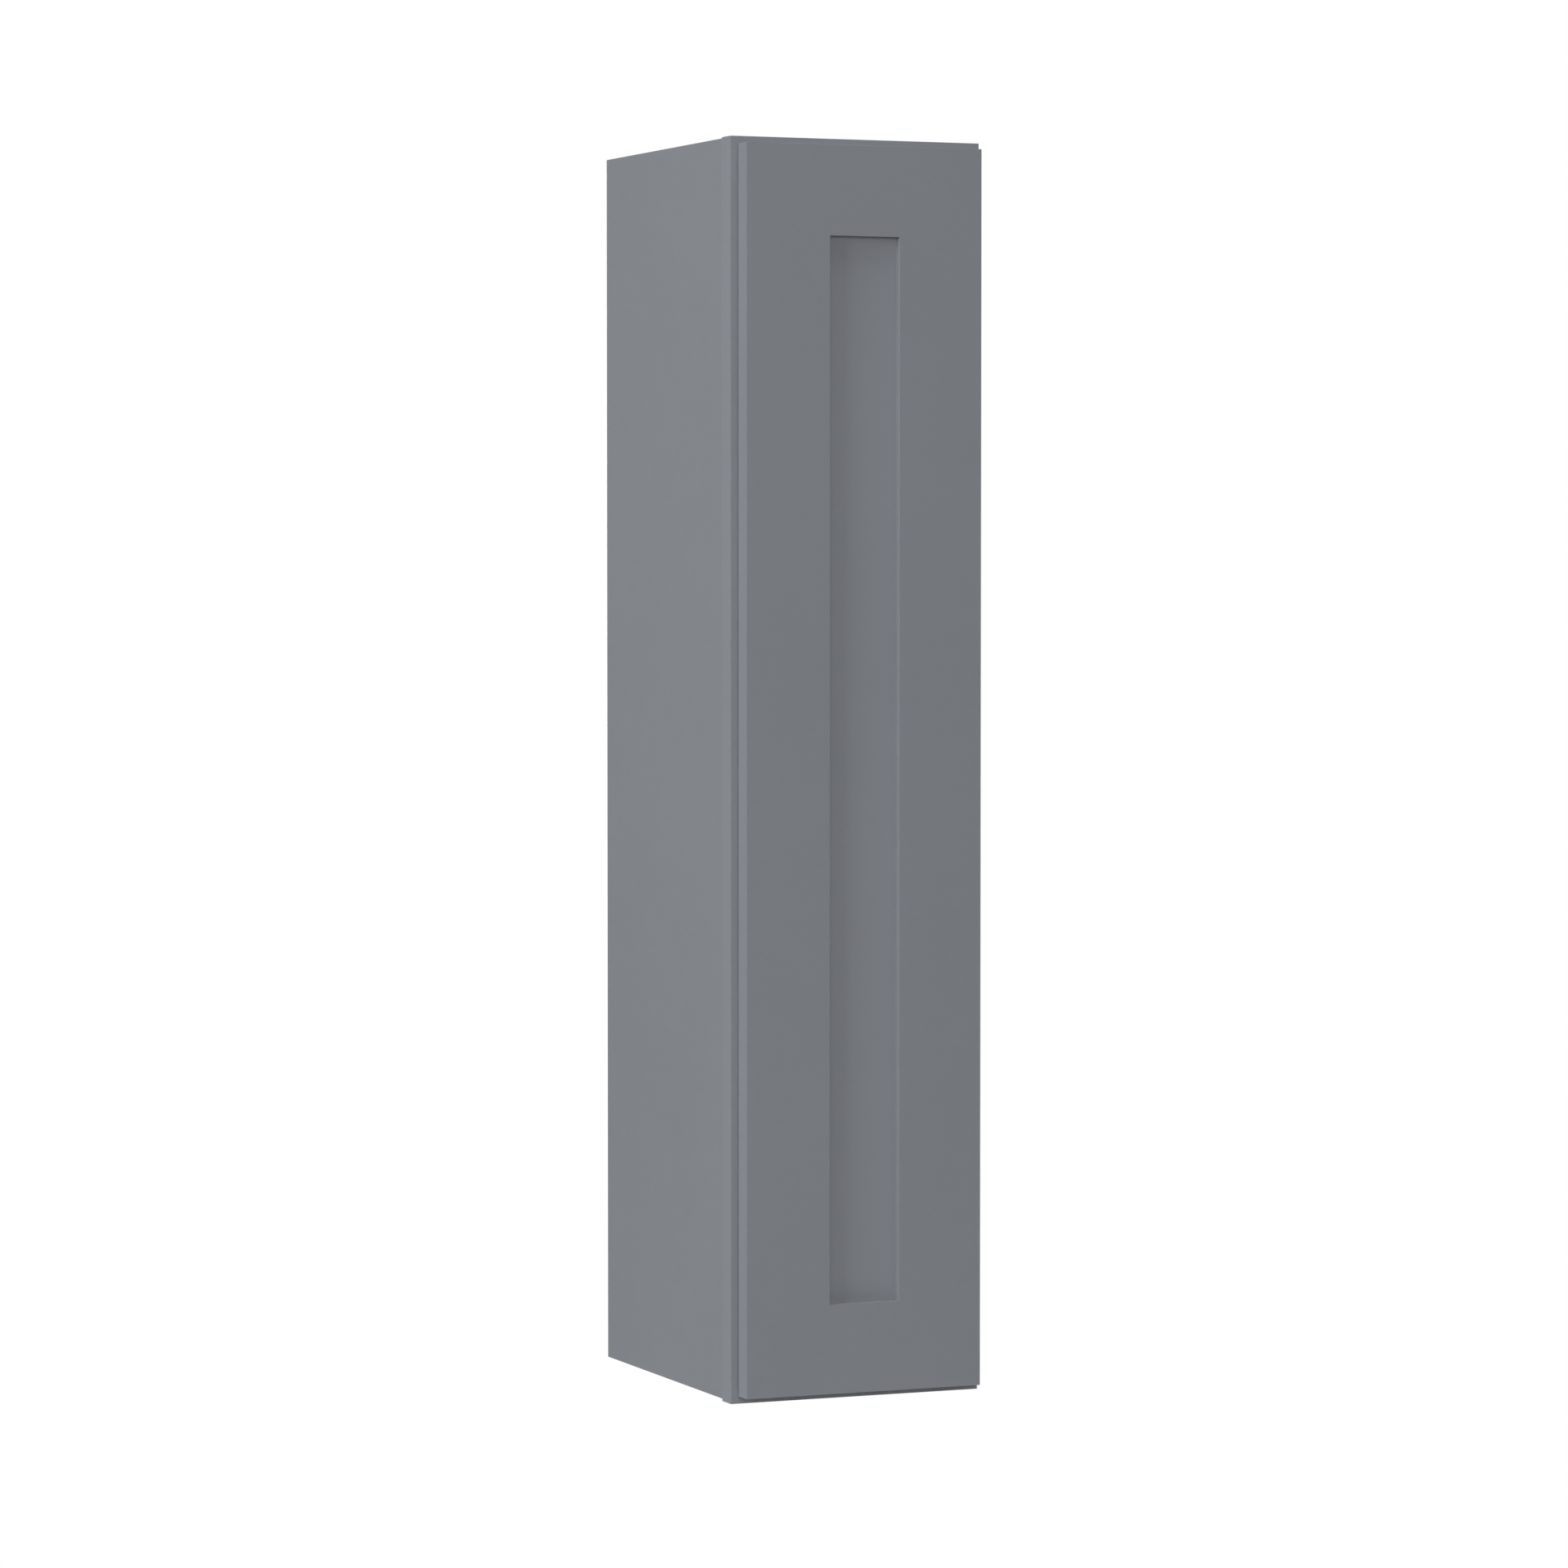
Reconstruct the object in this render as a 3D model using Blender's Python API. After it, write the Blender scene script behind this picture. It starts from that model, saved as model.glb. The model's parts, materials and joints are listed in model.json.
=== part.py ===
"""A narrow wall cabinet: a painted face frame on a plywood case, with one recessed-panel door.

Metres, +Z up, +X to the right as seen from the front, and the door faces -Y. The back plane is Y = 0.
The origin is the centre of the upper hanging rail's back face, where the cabinet is screwed to a wall.
"""

import math

import bmesh
import bpy
from mathutils import Matrix, Vector

INCH = 0.0254
GAP = 0.0003  # left between pieces that touch

# Face frame
FRAME_WIDTH = 9 * INCH
FRAME_HEIGHT = 42 * INCH
FRAME_THICKNESS = 0.75 * INCH
FRAME_MEMBER = 1.5 * INCH  # width of its stiles and height of its rails
TENON_LENGTH = 0.375 * INCH
TENON_THICKNESS = 0.25 * INCH
TENON_SHOULDER = 0.25 * INCH  # left above and below each frame tenon

# Case
CABINET_DEPTH = 11.4375 * INCH  # front of the face frame to the back edges of the sides
SIDE_THICKNESS = 0.5 * INCH
SIDE_TOP_SETBACK = 0.0010  # the frame stands this far above the sides
SIDE_BOTTOM_SETBACK = 0.0020  # and this far below them
SIDE_TONGUE = 0.25 * INCH  # tongue on the front edge of a side, thickness and length
SIDE_TONGUE_STOP = 0.5 * INCH  # its distance from the ends of the side
HOUSING_DEPTH = 0.25 * INCH  # dadoes and grooves cut in the sides
DECK_THICKNESS = 0.5 * INCH  # top and bottom panels
BACK_THICKNESS = 0.25 * INCH
HANG_RAIL_HEIGHT = 3 * INCH
HANG_RAIL_THICKNESS = 0.5 * INCH

# Shelves
SHELF_THICKNESS = 0.75 * INCH
SHELF_SIDE_PLAY = 0.0015
SHELF_BACK_PLAY = 0.0020
SHELF_FRONT_PLAY = 0.0030
SHELF_NAMES = ("lower", "middle", "upper")
PIN_HOLE_RADIUS = 0.0025
PIN_HOLE_DEPTH = 0.0090
PIN_HOLE_PITCH = 0.0320
PIN_HOLES_EACH = 5  # holes in a row for each shelf
PIN_RADIUS = 0.0022
PIN_INSET = 0.0370  # from a shelf's front and back edges to its pins
PIN_PLATE = 0.0012
PIN_WIDTH = 0.0080
PIN_REACH = 0.0100  # how far the ledge runs under the shelf
PIN_LEDGE_TOP = 0.0030  # above the pin's axis
PIN_TAIL = 0.0060  # below the pin's axis

# Door
DOOR_REVEAL = 0.25 * INCH  # frame left showing round the door
DOOR_THICKNESS = 0.0180
DOOR_GAP = 0.0018  # between the door and the frame
DOOR_MEMBER = 3 * INCH  # width of its stiles and height of its rails
PANEL_RECESS = 0.0070
PANEL_THICKNESS = 0.25 * INCH
PANEL_GROOVE = 0.375 * INCH  # depth of the groove that holds the panel
BACK_EASE = 0.0015  # taken off the back corner that turns past the frame
BUMPER_RADIUS = 0.0045
BUMPER_INSET = 0.0140  # from the door's edges

# Hinges
HINGE_NAMES = ("lower", "middle", "upper")
HINGE_INSET = 4 * INCH  # from the door's ends to the outer hinges
CUP_BORE_RADIUS = 0.0175
CUP_EDGE = 0.0030  # between the bore and the door's edge
CUP_RADIUS = 0.0172
CUP_WALL = 0.0006
CUP_FLOOR = 0.0008
CUP_DEPTH = 0.0125
FLANGE_RADIUS = 0.0184
FLANGE_THICKNESS = 0.0008
FLANGE_LIFT = 0.0002  # its gap above the door's back
FLANGE_FLAT = 0.0001  # the rim is cut off straight this far past the cup, so that it clears the frame
FLANGE_HALF_LENGTH = 0.0285
FLANGE_HALF_WIDTH = 0.0060
CUP_SCREW_OFFSET = 0.0095
CUP_SCREW_HALF_SPACING = 0.0225
PIVOT_EDGE = 0.0066  # from the door's edge to the pivot
PIVOT_DEPTH = 0.0085  # from the door's back to the pivot
PIVOT_RADIUS = 0.00105
PIVOT_HALF_LENGTH = 0.0056
EAR_HOLE_RADIUS = 0.00118
EAR_THICKNESS = 0.0013
EAR_LENGTH = 0.0060
KNUCKLE_RADIUS = 0.0019
KNUCKLE_HOLE_RADIUS = 0.00125
KNUCKLE_HALF_LENGTH = 0.0035
ARM_THICKNESS = 0.0015
ARM_REACH = 0.0290  # from the pivot to the far face of the arm's leg
ARM_DROP = 0.0027  # from the pivot to the deep face of the arm
ARM_NECK = 0.0052  # from the pivot to where the arm widens, clear of the ears
ARM_HALF_WIDTH = 0.0050
ARM_LEG_LENGTH = 0.0165  # along the stile's inner edge
ARM_LEG_HALF_WIDTH = 0.0090
PLATE_THICKNESS = 0.00135
PLATE_HALF_HEIGHT = 0.0110
PLATE_TAB = 0.0135  # behind the stile
PLATE_FRONT_INSET = 0.0010
SCREW_RADIUS = 0.0016
SCREW_HOLE_RADIUS = 0.0020
SCREW_LENGTH = 0.0160
SCREW_HEAD_RADIUS = 0.0032
SCREW_HEAD_HEIGHT = 0.0014
HINGE_SCREW_DEPTH = 0.0090  # from the frame's front to the arm's screws
HINGE_SCREW_HALF_SPACING = 0.0045
CUP_SCREW_RADIUS = 0.0014
CUP_SCREW_HOLE_RADIUS = 0.0018
CUP_SCREW_LENGTH = 0.0110
CUP_SCREW_SEAT_RADIUS = 0.0036

# Places that follow from the sizes above
FRAME_TOP = HANG_RAIL_HEIGHT / 2 + SIDE_TOP_SETBACK
FRAME_BOTTOM = FRAME_TOP - FRAME_HEIGHT
FRAME_FRONT = -CABINET_DEPTH
FRAME_BACK = FRAME_FRONT + FRAME_THICKNESS
FRAME_HALF = FRAME_WIDTH / 2
OPENING_HALF = FRAME_HALF - FRAME_MEMBER
SIDE_TOP = FRAME_TOP - SIDE_TOP_SETBACK
SIDE_BOTTOM = FRAME_BOTTOM + SIDE_BOTTOM_SETBACK
INSIDE_HALF = FRAME_HALF - SIDE_THICKNESS
FLOOR_LEVEL = FRAME_BOTTOM + FRAME_MEMBER  # top of the bottom panel
CEILING_LEVEL = FRAME_TOP - FRAME_MEMBER  # underside of the top panel
BACK_REAR = -HANG_RAIL_THICKNESS - GAP
BACK_FRONT = BACK_REAR - BACK_THICKNESS
DOOR_HALF = FRAME_HALF - DOOR_REVEAL
DOOR_TOP = FRAME_TOP - DOOR_REVEAL
DOOR_BOTTOM = FRAME_BOTTOM + DOOR_REVEAL
DOOR_BACK = FRAME_FRONT - DOOR_GAP
DOOR_FRONT = DOOR_BACK - DOOR_THICKNESS
PANEL_FRONT = DOOR_FRONT + PANEL_RECESS
PANEL_BACK = PANEL_FRONT + PANEL_THICKNESS
PANEL_HALF = DOOR_HALF - DOOR_MEMBER  # half of what the door's frame leaves open
PIVOT_X = DOOR_HALF - PIVOT_EDGE
PIVOT_Y = DOOR_BACK - PIVOT_DEPTH
CUP_X = DOOR_HALF - CUP_EDGE - CUP_BORE_RADIUS
ARM_OUTER_X = PIVOT_X - ARM_REACH
ARM_INNER_X = ARM_OUTER_X + ARM_THICKNESS
PLATE_X = OPENING_HALF - GAP - PLATE_THICKNESS

ALONG = {
    "x": Matrix.Rotation(math.pi / 2, 4, "Y"),
    "y": Matrix.Rotation(-math.pi / 2, 4, "X"),
    "z": Matrix.Identity(4),
}


def clear_scene():
    for obj in list(bpy.data.objects):
        bpy.data.objects.remove(obj)
    for group in list(bpy.data.collections):
        bpy.data.collections.remove(group)


def new_group(name):
    group = bpy.data.collections.new(name)
    bpy.context.scene.collection.children.link(group)
    return group


def new_material(name, colour, roughness, metallic=0.0):
    material = bpy.data.materials.new(name)
    material.use_nodes = True
    shader = material.node_tree.nodes["Principled BSDF"]
    shader.inputs["Base Color"].default_value = (*colour, 1.0)
    shader.inputs["Roughness"].default_value = roughness
    shader.inputs["Metallic"].default_value = metallic
    return material


def new_pivot(name, place):
    """An empty that its pieces hang from."""
    pivot = bpy.data.objects.new(name, None)
    pivot.location = place
    pivot.empty_display_size = 0.05
    parts.objects.link(pivot)
    return pivot


def add_piece(name, bm, centre, material, pivot):
    """A named piece of the cabinet, or with no material a cutter or an addition."""
    mesh = bpy.data.meshes.new(name)
    bm.to_mesh(mesh)
    bm.free()
    obj = bpy.data.objects.new(name, mesh)
    obj.parent = pivot
    obj.location = centre - pivot.location
    if material is None:
        obj.hide_render = True
        obj.display_type = "WIRE"
        cutters.objects.link(obj)
    else:
        mesh.materials.append(material)
        parts.objects.link(obj)
    return obj


def block(name, low, high, pivot, material=None):
    """A box between two corners."""
    low, high = Vector(low), Vector(high)
    bm = bmesh.new()
    bmesh.ops.create_cube(bm, size=1.0)
    bmesh.ops.scale(bm, vec=high - low, verts=bm.verts)
    return add_piece(name, bm, (low + high) / 2, material, pivot)


def rounds(name, axis, start, end, radii, places, pivot, material=None, segments=16):
    """Round bars or cones along an axis from start to end, one centred on each place."""
    bm = bmesh.new()
    index = "xyz".index(axis)
    centre = sum((Vector(place) for place in places), Vector()) / len(places)
    centre[index] = (start + end) / 2
    for place in places:
        offset = Vector(place) - centre
        offset[index] = 0.0
        bmesh.ops.create_cone(
            bm,
            cap_ends=True,
            segments=segments,
            radius1=radii[0],
            radius2=radii[1],
            depth=end - start,
            matrix=Matrix.Translation(offset) @ ALONG[axis],
        )
    obj = add_piece(name, bm, centre, material, pivot)
    obj.data.shade_smooth()
    obj.data.set_sharp_from_angle(angle=math.radians(40))
    return obj


def boolean(piece, tool, operation):
    modifier = piece.modifiers.new(tool.name, "BOOLEAN")
    modifier.operation = operation
    modifier.solver = "EXACT"
    modifier.object = tool


def cut(piece, *tools):
    for tool in tools:
        boolean(piece, tool, "DIFFERENCE")


def fuse(piece, *tools):
    for tool in tools:
        boolean(piece, tool, "UNION")


def span(sign, near, far):
    """Two X values on one side of the cabinet, lowest first."""
    return tuple(sorted((sign * near, sign * far)))


# ---- Face frame ----


def frame_stile(name, sign, pivot):
    """A full-height upright with a mortise for each rail and a groove for the side."""
    x0, x1 = span(sign, OPENING_HALF, FRAME_HALF)
    low = (x0, FRAME_FRONT, FRAME_BOTTOM)
    high = (x1, FRAME_BACK, FRAME_TOP)
    stile = block(name, low, high, pivot, frame_paint)
    m0, m1 = span(sign, OPENING_HALF - GAP, OPENING_HALF + TENON_LENGTH)
    y0, y1 = tenon_span()
    half_room = TENON_THICKNESS / 2 + GAP
    middle = (y0 + y1) / 2
    for end, z0, z1 in frame_rail_spans():
        bottom = z0 + TENON_SHOULDER - GAP
        top = z1 - TENON_SHOULDER + GAP
        mortise_low = (m0, middle - half_room, bottom)
        mortise_high = (m1, middle + half_room, top)
        cut(stile, block(f"cut_{name}_mortise_{end}", mortise_low, mortise_high, pivot))
    t0, t1 = tongue_span(sign)
    groove_low = (t0 - GAP, FRAME_BACK - SIDE_TONGUE, SIDE_BOTTOM + SIDE_TONGUE_STOP - GAP)
    groove_high = (t1 + GAP, FRAME_BACK + GAP, SIDE_TOP - SIDE_TONGUE_STOP + GAP)
    cut(stile, block(f"cut_{name}_groove", groove_low, groove_high, pivot))
    return stile


def frame_rail_spans():
    return (
        ("bottom", FRAME_BOTTOM, FRAME_BOTTOM + FRAME_MEMBER),
        ("top", FRAME_TOP - FRAME_MEMBER, FRAME_TOP),
    )


def tenon_span():
    """Front and back of a frame tenon, in the middle of the frame's thickness."""
    middle = (FRAME_FRONT + FRAME_BACK) / 2
    return middle - TENON_THICKNESS / 2, middle + TENON_THICKNESS / 2


def tongue_span(sign):
    """Left and right of a side's front tongue, in the middle of its thickness."""
    middle = sign * (FRAME_HALF - SIDE_THICKNESS / 2)
    return middle - SIDE_TONGUE / 2, middle + SIDE_TONGUE / 2


def frame_rail(end, z0, z1, pivot):
    half = OPENING_HALF - GAP
    low, high = (-half, FRAME_FRONT, z0), (half, FRAME_BACK, z1)
    rail = block(f"frame_rail_{end}", low, high, pivot, frame_paint)
    y0, y1 = tenon_span()
    reach = OPENING_HALF + TENON_LENGTH - GAP
    tenon_low = (-reach, y0, z0 + TENON_SHOULDER)
    tenon_high = (reach, y1, z1 - TENON_SHOULDER)
    fuse(rail, block(f"add_frame_rail_{end}_tenon", tenon_low, tenon_high, pivot))


def face_frame(pivot):
    frame_stile("frame_stile_left", -1, pivot)
    stile = frame_stile("frame_stile_right", 1, pivot)
    for end, z0, z1 in frame_rail_spans():
        frame_rail(end, z0, z1, pivot)
    depth = FRAME_FRONT + HINGE_SCREW_DEPTH
    places = [(0, depth, z - HINGE_SCREW_HALF_SPACING) for z in hinge_heights()]
    start, end = OPENING_HALF - GAP, OPENING_HALF + SCREW_LENGTH
    radii = (SCREW_HOLE_RADIUS, SCREW_HOLE_RADIUS)
    cut(stile, rounds("cut_hinge_screw_holes", "x", start, end, radii, places, pivot))


# ---- Case ----


def shelf_levels():
    """The underside of each shelf, dividing the inside evenly."""
    count = len(SHELF_NAMES)
    clear = CEILING_LEVEL - FLOOR_LEVEL - count * SHELF_THICKNESS
    bay = clear / (count + 1)
    return [FLOOR_LEVEL + bay + i * (bay + SHELF_THICKNESS) for i in range(count)]


def shelf_depth_span():
    return FRAME_BACK + SHELF_FRONT_PLAY, BACK_FRONT - SHELF_BACK_PLAY


def pin_level(shelf_level):
    return shelf_level - GAP - PIN_LEDGE_TOP


def pin_rows():
    front, back = shelf_depth_span()
    return (("front", front + PIN_INSET), ("back", back - PIN_INSET))


def side_panel(name, sign, pivot):
    """A plywood side with a tongue for the frame, housings for the panels and rows of shelf holes."""
    x0, x1 = span(sign, INSIDE_HALF, FRAME_HALF)
    low, high = (x0, FRAME_BACK + GAP, SIDE_BOTTOM), (x1, 0.0, SIDE_TOP)
    side = block(name, low, high, pivot, side_paint)
    t0, t1 = tongue_span(sign)
    tongue_low = (t0, FRAME_BACK - SIDE_TONGUE + GAP, SIDE_BOTTOM + SIDE_TONGUE_STOP)
    tongue_high = (t1, FRAME_BACK + SIDE_TONGUE, SIDE_TOP - SIDE_TONGUE_STOP)
    fuse(side, block(f"add_{name}_tongue", tongue_low, tongue_high, pivot))
    h0, h1 = span(sign, INSIDE_HALF - GAP, INSIDE_HALF + HOUSING_DEPTH)
    for deck, z0, z1 in deck_spans():
        dado_low = (h0, FRAME_BACK - SIDE_TONGUE, z0 - GAP)
        dado_high = (h1, BACK_REAR, z1 + GAP)
        cut(side, block(f"cut_{name}_{deck}_dado", dado_low, dado_high, pivot))
    groove_low = (h0, BACK_FRONT - GAP, SIDE_BOTTOM - GAP)
    groove_high = (h1, BACK_REAR + GAP, SIDE_TOP + GAP)
    cut(side, block(f"cut_{name}_back_groove", groove_low, groove_high, pivot))
    half_run = (PIN_HOLES_EACH - 1) / 2
    steps = [(i - half_run) * PIN_HOLE_PITCH for i in range(PIN_HOLES_EACH)]
    heights = [pin_level(z) + step for z in shelf_levels() for step in steps]
    places = [(0, y, z) for _, y in pin_rows() for z in heights]
    p0, p1 = span(sign, INSIDE_HALF - GAP, INSIDE_HALF + PIN_HOLE_DEPTH)
    radii = (PIN_HOLE_RADIUS, PIN_HOLE_RADIUS)
    cut(side, rounds(f"cut_{name}_pin_holes", "x", p0, p1, radii, places, pivot, segments=12))


def deck_spans():
    return (
        ("bottom", FLOOR_LEVEL - DECK_THICKNESS, FLOOR_LEVEL),
        ("top", CEILING_LEVEL, CEILING_LEVEL + DECK_THICKNESS),
    )


def case(pivot):
    side_panel("side_left", -1, pivot)
    side_panel("side_right", 1, pivot)
    reach = INSIDE_HALF + HOUSING_DEPTH - GAP
    for deck, z0, z1 in deck_spans():
        low, high = (-reach, FRAME_BACK + GAP, z0), (reach, BACK_FRONT - GAP, z1)
        block(f"{deck}_panel", low, high, pivot, plywood)
    low, high = (-reach, BACK_FRONT, SIDE_BOTTOM), (reach, BACK_REAR, SIDE_TOP)
    block("back_panel", low, high, pivot, plywood)
    half = INSIDE_HALF - GAP
    for name, z0 in (("upper", SIDE_TOP - HANG_RAIL_HEIGHT), ("lower", SIDE_BOTTOM)):
        low, high = (-half, -HANG_RAIL_THICKNESS, z0), (half, 0.0, z0 + HANG_RAIL_HEIGHT)
        block(f"hang_rail_{name}", low, high, pivot, plywood)


# ---- Shelves ----


def shelf_pin(name, sign, y, z, pivot):
    """A steel shelf pin: a round peg, a plate against the side and a ledge under the shelf."""
    face = INSIDE_HALF - GAP
    x0, x1 = span(sign, face - PIN_PLATE, face)
    half = PIN_WIDTH / 2
    low, high = (x0, y - half, z - PIN_TAIL), (x1, y + half, z + PIN_LEDGE_TOP)
    pin = block(name, low, high, pivot, pin_steel)
    l0, l1 = span(sign, face - PIN_REACH, face - PIN_PLATE / 2)
    ledge_low = (l0, y - half, z + PIN_LEDGE_TOP - PIN_PLATE)
    ledge_high = (l1, y + half, z + PIN_LEDGE_TOP)
    p0, p1 = span(sign, face - PIN_PLATE / 2, INSIDE_HALF + PIN_HOLE_DEPTH - GAP)
    radii = (PIN_RADIUS, PIN_RADIUS)
    fuse(
        pin,
        block(f"add_{name}_ledge", ledge_low, ledge_high, pivot),
        rounds(f"add_{name}_peg", "x", p0, p1, radii, [(0, y, z)], pivot, segments=12),
    )


def shelves(pivot):
    half = INSIDE_HALF - SHELF_SIDE_PLAY
    front, back = shelf_depth_span()
    for name, level in zip(SHELF_NAMES, shelf_levels()):
        low, high = (-half, front, level), (half, back, level + SHELF_THICKNESS)
        block(f"shelf_{name}", low, high, pivot, shelf_board)
        for side, sign in (("left", -1), ("right", 1)):
            for row, y in pin_rows():
                shelf_pin(f"shelf_pin_{name}_{side}_{row}", sign, y, pin_level(level), pivot)


# ---- Door ----


def door_stile(name, sign, pivot):
    x0, x1 = span(sign, PANEL_HALF, DOOR_HALF)
    low, high = (x0, DOOR_FRONT, DOOR_BOTTOM), (x1, DOOR_BACK, DOOR_TOP)
    stile = block(name, low, high, pivot, door_paint)
    g0, g1 = span(sign, PANEL_HALF - GAP, PANEL_HALF + PANEL_GROOVE)
    groove_low = (g0, PANEL_FRONT - GAP, DOOR_BOTTOM - GAP)
    groove_high = (g1, PANEL_BACK + GAP, DOOR_TOP + GAP)
    cut(stile, block(f"cut_{name}_groove", groove_low, groove_high, pivot))
    return stile


def door_rail(end, outer, pivot):
    """A rail whose tongues fit the grooves of the stiles, grooved on its inner edge for the panel."""
    toward = 1 if end == "bottom" else -1
    inner = outer + toward * DOOR_MEMBER
    z0, z1 = sorted((outer, inner))
    half = PANEL_HALF - GAP
    low, high = (-half, DOOR_FRONT, z0), (half, DOOR_BACK, z1)
    rail = block(f"door_rail_{end}", low, high, pivot, door_paint)
    reach = PANEL_HALF + PANEL_GROOVE - GAP
    tongue_low, tongue_high = (-reach, PANEL_FRONT, z0), (reach, PANEL_BACK, z1)
    fuse(rail, block(f"add_door_rail_{end}_tongues", tongue_low, tongue_high, pivot))
    g0, g1 = sorted((inner + toward * GAP, inner - toward * PANEL_GROOVE))
    groove_low = (-reach - GAP, PANEL_FRONT - GAP, g0)
    groove_high = (reach + GAP, PANEL_BACK + GAP, g1)
    cut(rail, block(f"cut_door_rail_{end}_groove", groove_low, groove_high, pivot))


def ease_back_corner(stile, pivot):
    """Chamfers the back corner that turns past the face frame."""
    bm = bmesh.new()
    bmesh.ops.create_cube(bm, size=1.0)
    side = BACK_EASE * math.sqrt(2)
    bmesh.ops.scale(bm, vec=(side, side, FRAME_HEIGHT), verts=bm.verts)
    corner = Vector((DOOR_HALF, DOOR_BACK, (DOOR_TOP + DOOR_BOTTOM) / 2))
    tool = add_piece("cut_door_stile_ease", bm, corner, None, pivot)
    tool.rotation_euler.z = math.pi / 4
    cut(stile, tool)


def cup_screw_places():
    offsets = (-CUP_SCREW_HALF_SPACING, CUP_SCREW_HALF_SPACING)
    return [(CUP_X - CUP_SCREW_OFFSET, 0, z + offset) for z in hinge_heights() for offset in offsets]


def door(pivot):
    door_stile("door_stile_left", -1, pivot)
    stile = door_stile("door_stile_right", 1, pivot)
    ease_back_corner(stile, pivot)
    bores = [(CUP_X, 0, z) for z in hinge_heights()]
    start, end = DOOR_BACK - CUP_DEPTH - GAP, DOOR_BACK + GAP
    radii = (CUP_BORE_RADIUS, CUP_BORE_RADIUS)
    cut(stile, rounds("cut_cup_bores", "y", start, end, radii, bores, pivot, segments=32))
    start = DOOR_BACK - CUP_SCREW_LENGTH - GAP
    radii = (CUP_SCREW_HOLE_RADIUS, CUP_SCREW_HOLE_RADIUS)
    places = cup_screw_places()
    cut(stile, rounds("cut_cup_screw_holes", "y", start, end, radii, places, pivot, segments=12))
    door_rail("bottom", DOOR_BOTTOM, pivot)
    door_rail("top", DOOR_TOP, pivot)
    reach = PANEL_HALF + PANEL_GROOVE - GAP
    z_reach = DOOR_MEMBER - PANEL_GROOVE + GAP
    low = (-reach, PANEL_FRONT, DOOR_BOTTOM + z_reach)
    high = (reach, PANEL_BACK, DOOR_TOP - z_reach)
    block("door_panel", low, high, pivot, door_paint)
    x = BUMPER_INSET - DOOR_HALF
    start, end = DOOR_BACK + GAP, FRAME_FRONT - GAP
    radii = (BUMPER_RADIUS, BUMPER_RADIUS * 0.8)
    for name, z in (("lower", DOOR_BOTTOM + BUMPER_INSET), ("upper", DOOR_TOP - BUMPER_INSET)):
        rounds(f"door_bumper_{name}", "y", start, end, radii, [(x, 0, z)], pivot, bumper_plastic)


# ---- Hinges ----


def hinge_heights():
    lower = DOOR_BOTTOM + HINGE_INSET
    upper = DOOR_TOP - HINGE_INSET
    return [lower, (lower + upper) / 2, upper]


def hinge_cup(name, z, pivot):
    """The cup pressed into the door, with a screw flange and two ears that hold the pivot."""
    bottom = DOOR_BACK - CUP_DEPTH
    flange_bottom = DOOR_BACK + FLANGE_LIFT
    flange_top = flange_bottom + FLANGE_THICKNESS
    centre = [(CUP_X, 0, z)]
    cup = rounds(
        f"hinge_cup_{name}", "y", bottom, flange_top - FLANGE_THICKNESS / 2,
        (CUP_RADIUS, CUP_RADIUS), centre, pivot, hinge_steel, segments=32,
    )
    rim = rounds(
        f"add_cup_rim_{name}", "y", flange_bottom, flange_top,
        (FLANGE_RADIUS, FLANGE_RADIUS), centre, pivot, segments=32,
    )
    x = CUP_X - CUP_SCREW_OFFSET
    wing_low = (x - FLANGE_HALF_WIDTH, flange_bottom, z - FLANGE_HALF_LENGTH)
    wing_high = (x + FLANGE_HALF_WIDTH, flange_top, z + FLANGE_HALF_LENGTH)
    wings = block(f"add_cup_wings_{name}", wing_low, wing_high, pivot)
    fuse(cup, rim, wings)
    inner = CUP_RADIUS - CUP_WALL
    hollow = rounds(
        f"cut_cup_hollow_{name}", "y", bottom + CUP_FLOOR, flange_top + GAP,
        (inner, inner), centre, pivot, segments=32,
    )
    seat_places = [(x, 0, z - CUP_SCREW_HALF_SPACING), (x, 0, z + CUP_SCREW_HALF_SPACING)]
    seats = rounds(
        f"cut_cup_seats_{name}", "y", flange_bottom - GAP, flange_top + GAP,
        (CUP_SCREW_HOLE_RADIUS, CUP_SCREW_SEAT_RADIUS), seat_places, pivot, segments=12,
    )
    flat_x = CUP_X + CUP_RADIUS + FLANGE_FLAT
    flat_low = (flat_x, DOOR_BACK - GAP, z - FLANGE_RADIUS)
    flat_high = (flat_x + FLANGE_RADIUS, flange_top + GAP, z + FLANGE_RADIUS)
    flat = block(f"cut_cup_flat_{name}", flat_low, flat_high, pivot)
    cut(cup, hollow, seats, flat)
    for side, sign in (("low", -1), ("high", 1)):
        inside = KNUCKLE_HALF_LENGTH + GAP
        z0, z1 = sorted((z + sign * inside, z + sign * (inside + EAR_THICKNESS)))
        ear_low = (PIVOT_X - EAR_LENGTH / 2, bottom + CUP_FLOOR / 2, z0)
        ear_high = (CUP_X + ear_reach(inside + EAR_THICKNESS), PIVOT_Y + KNUCKLE_RADIUS, z1)
        fuse(cup, block(f"add_cup_ear_{side}_{name}", ear_low, ear_high, pivot))
    radii = (EAR_HOLE_RADIUS, EAR_HOLE_RADIUS)
    places = [(PIVOT_X, PIVOT_Y, 0)]
    half = PIVOT_HALF_LENGTH + GAP
    cut(cup, rounds(f"cut_cup_pivot_{name}", "z", z - half, z + half, radii, places, pivot))


def ear_reach(height):
    """How far from the cup's centre an ear may run at this height and end inside the cup's wall."""
    return math.sqrt((CUP_RADIUS - CUP_WALL / 3) ** 2 - height**2)


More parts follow.
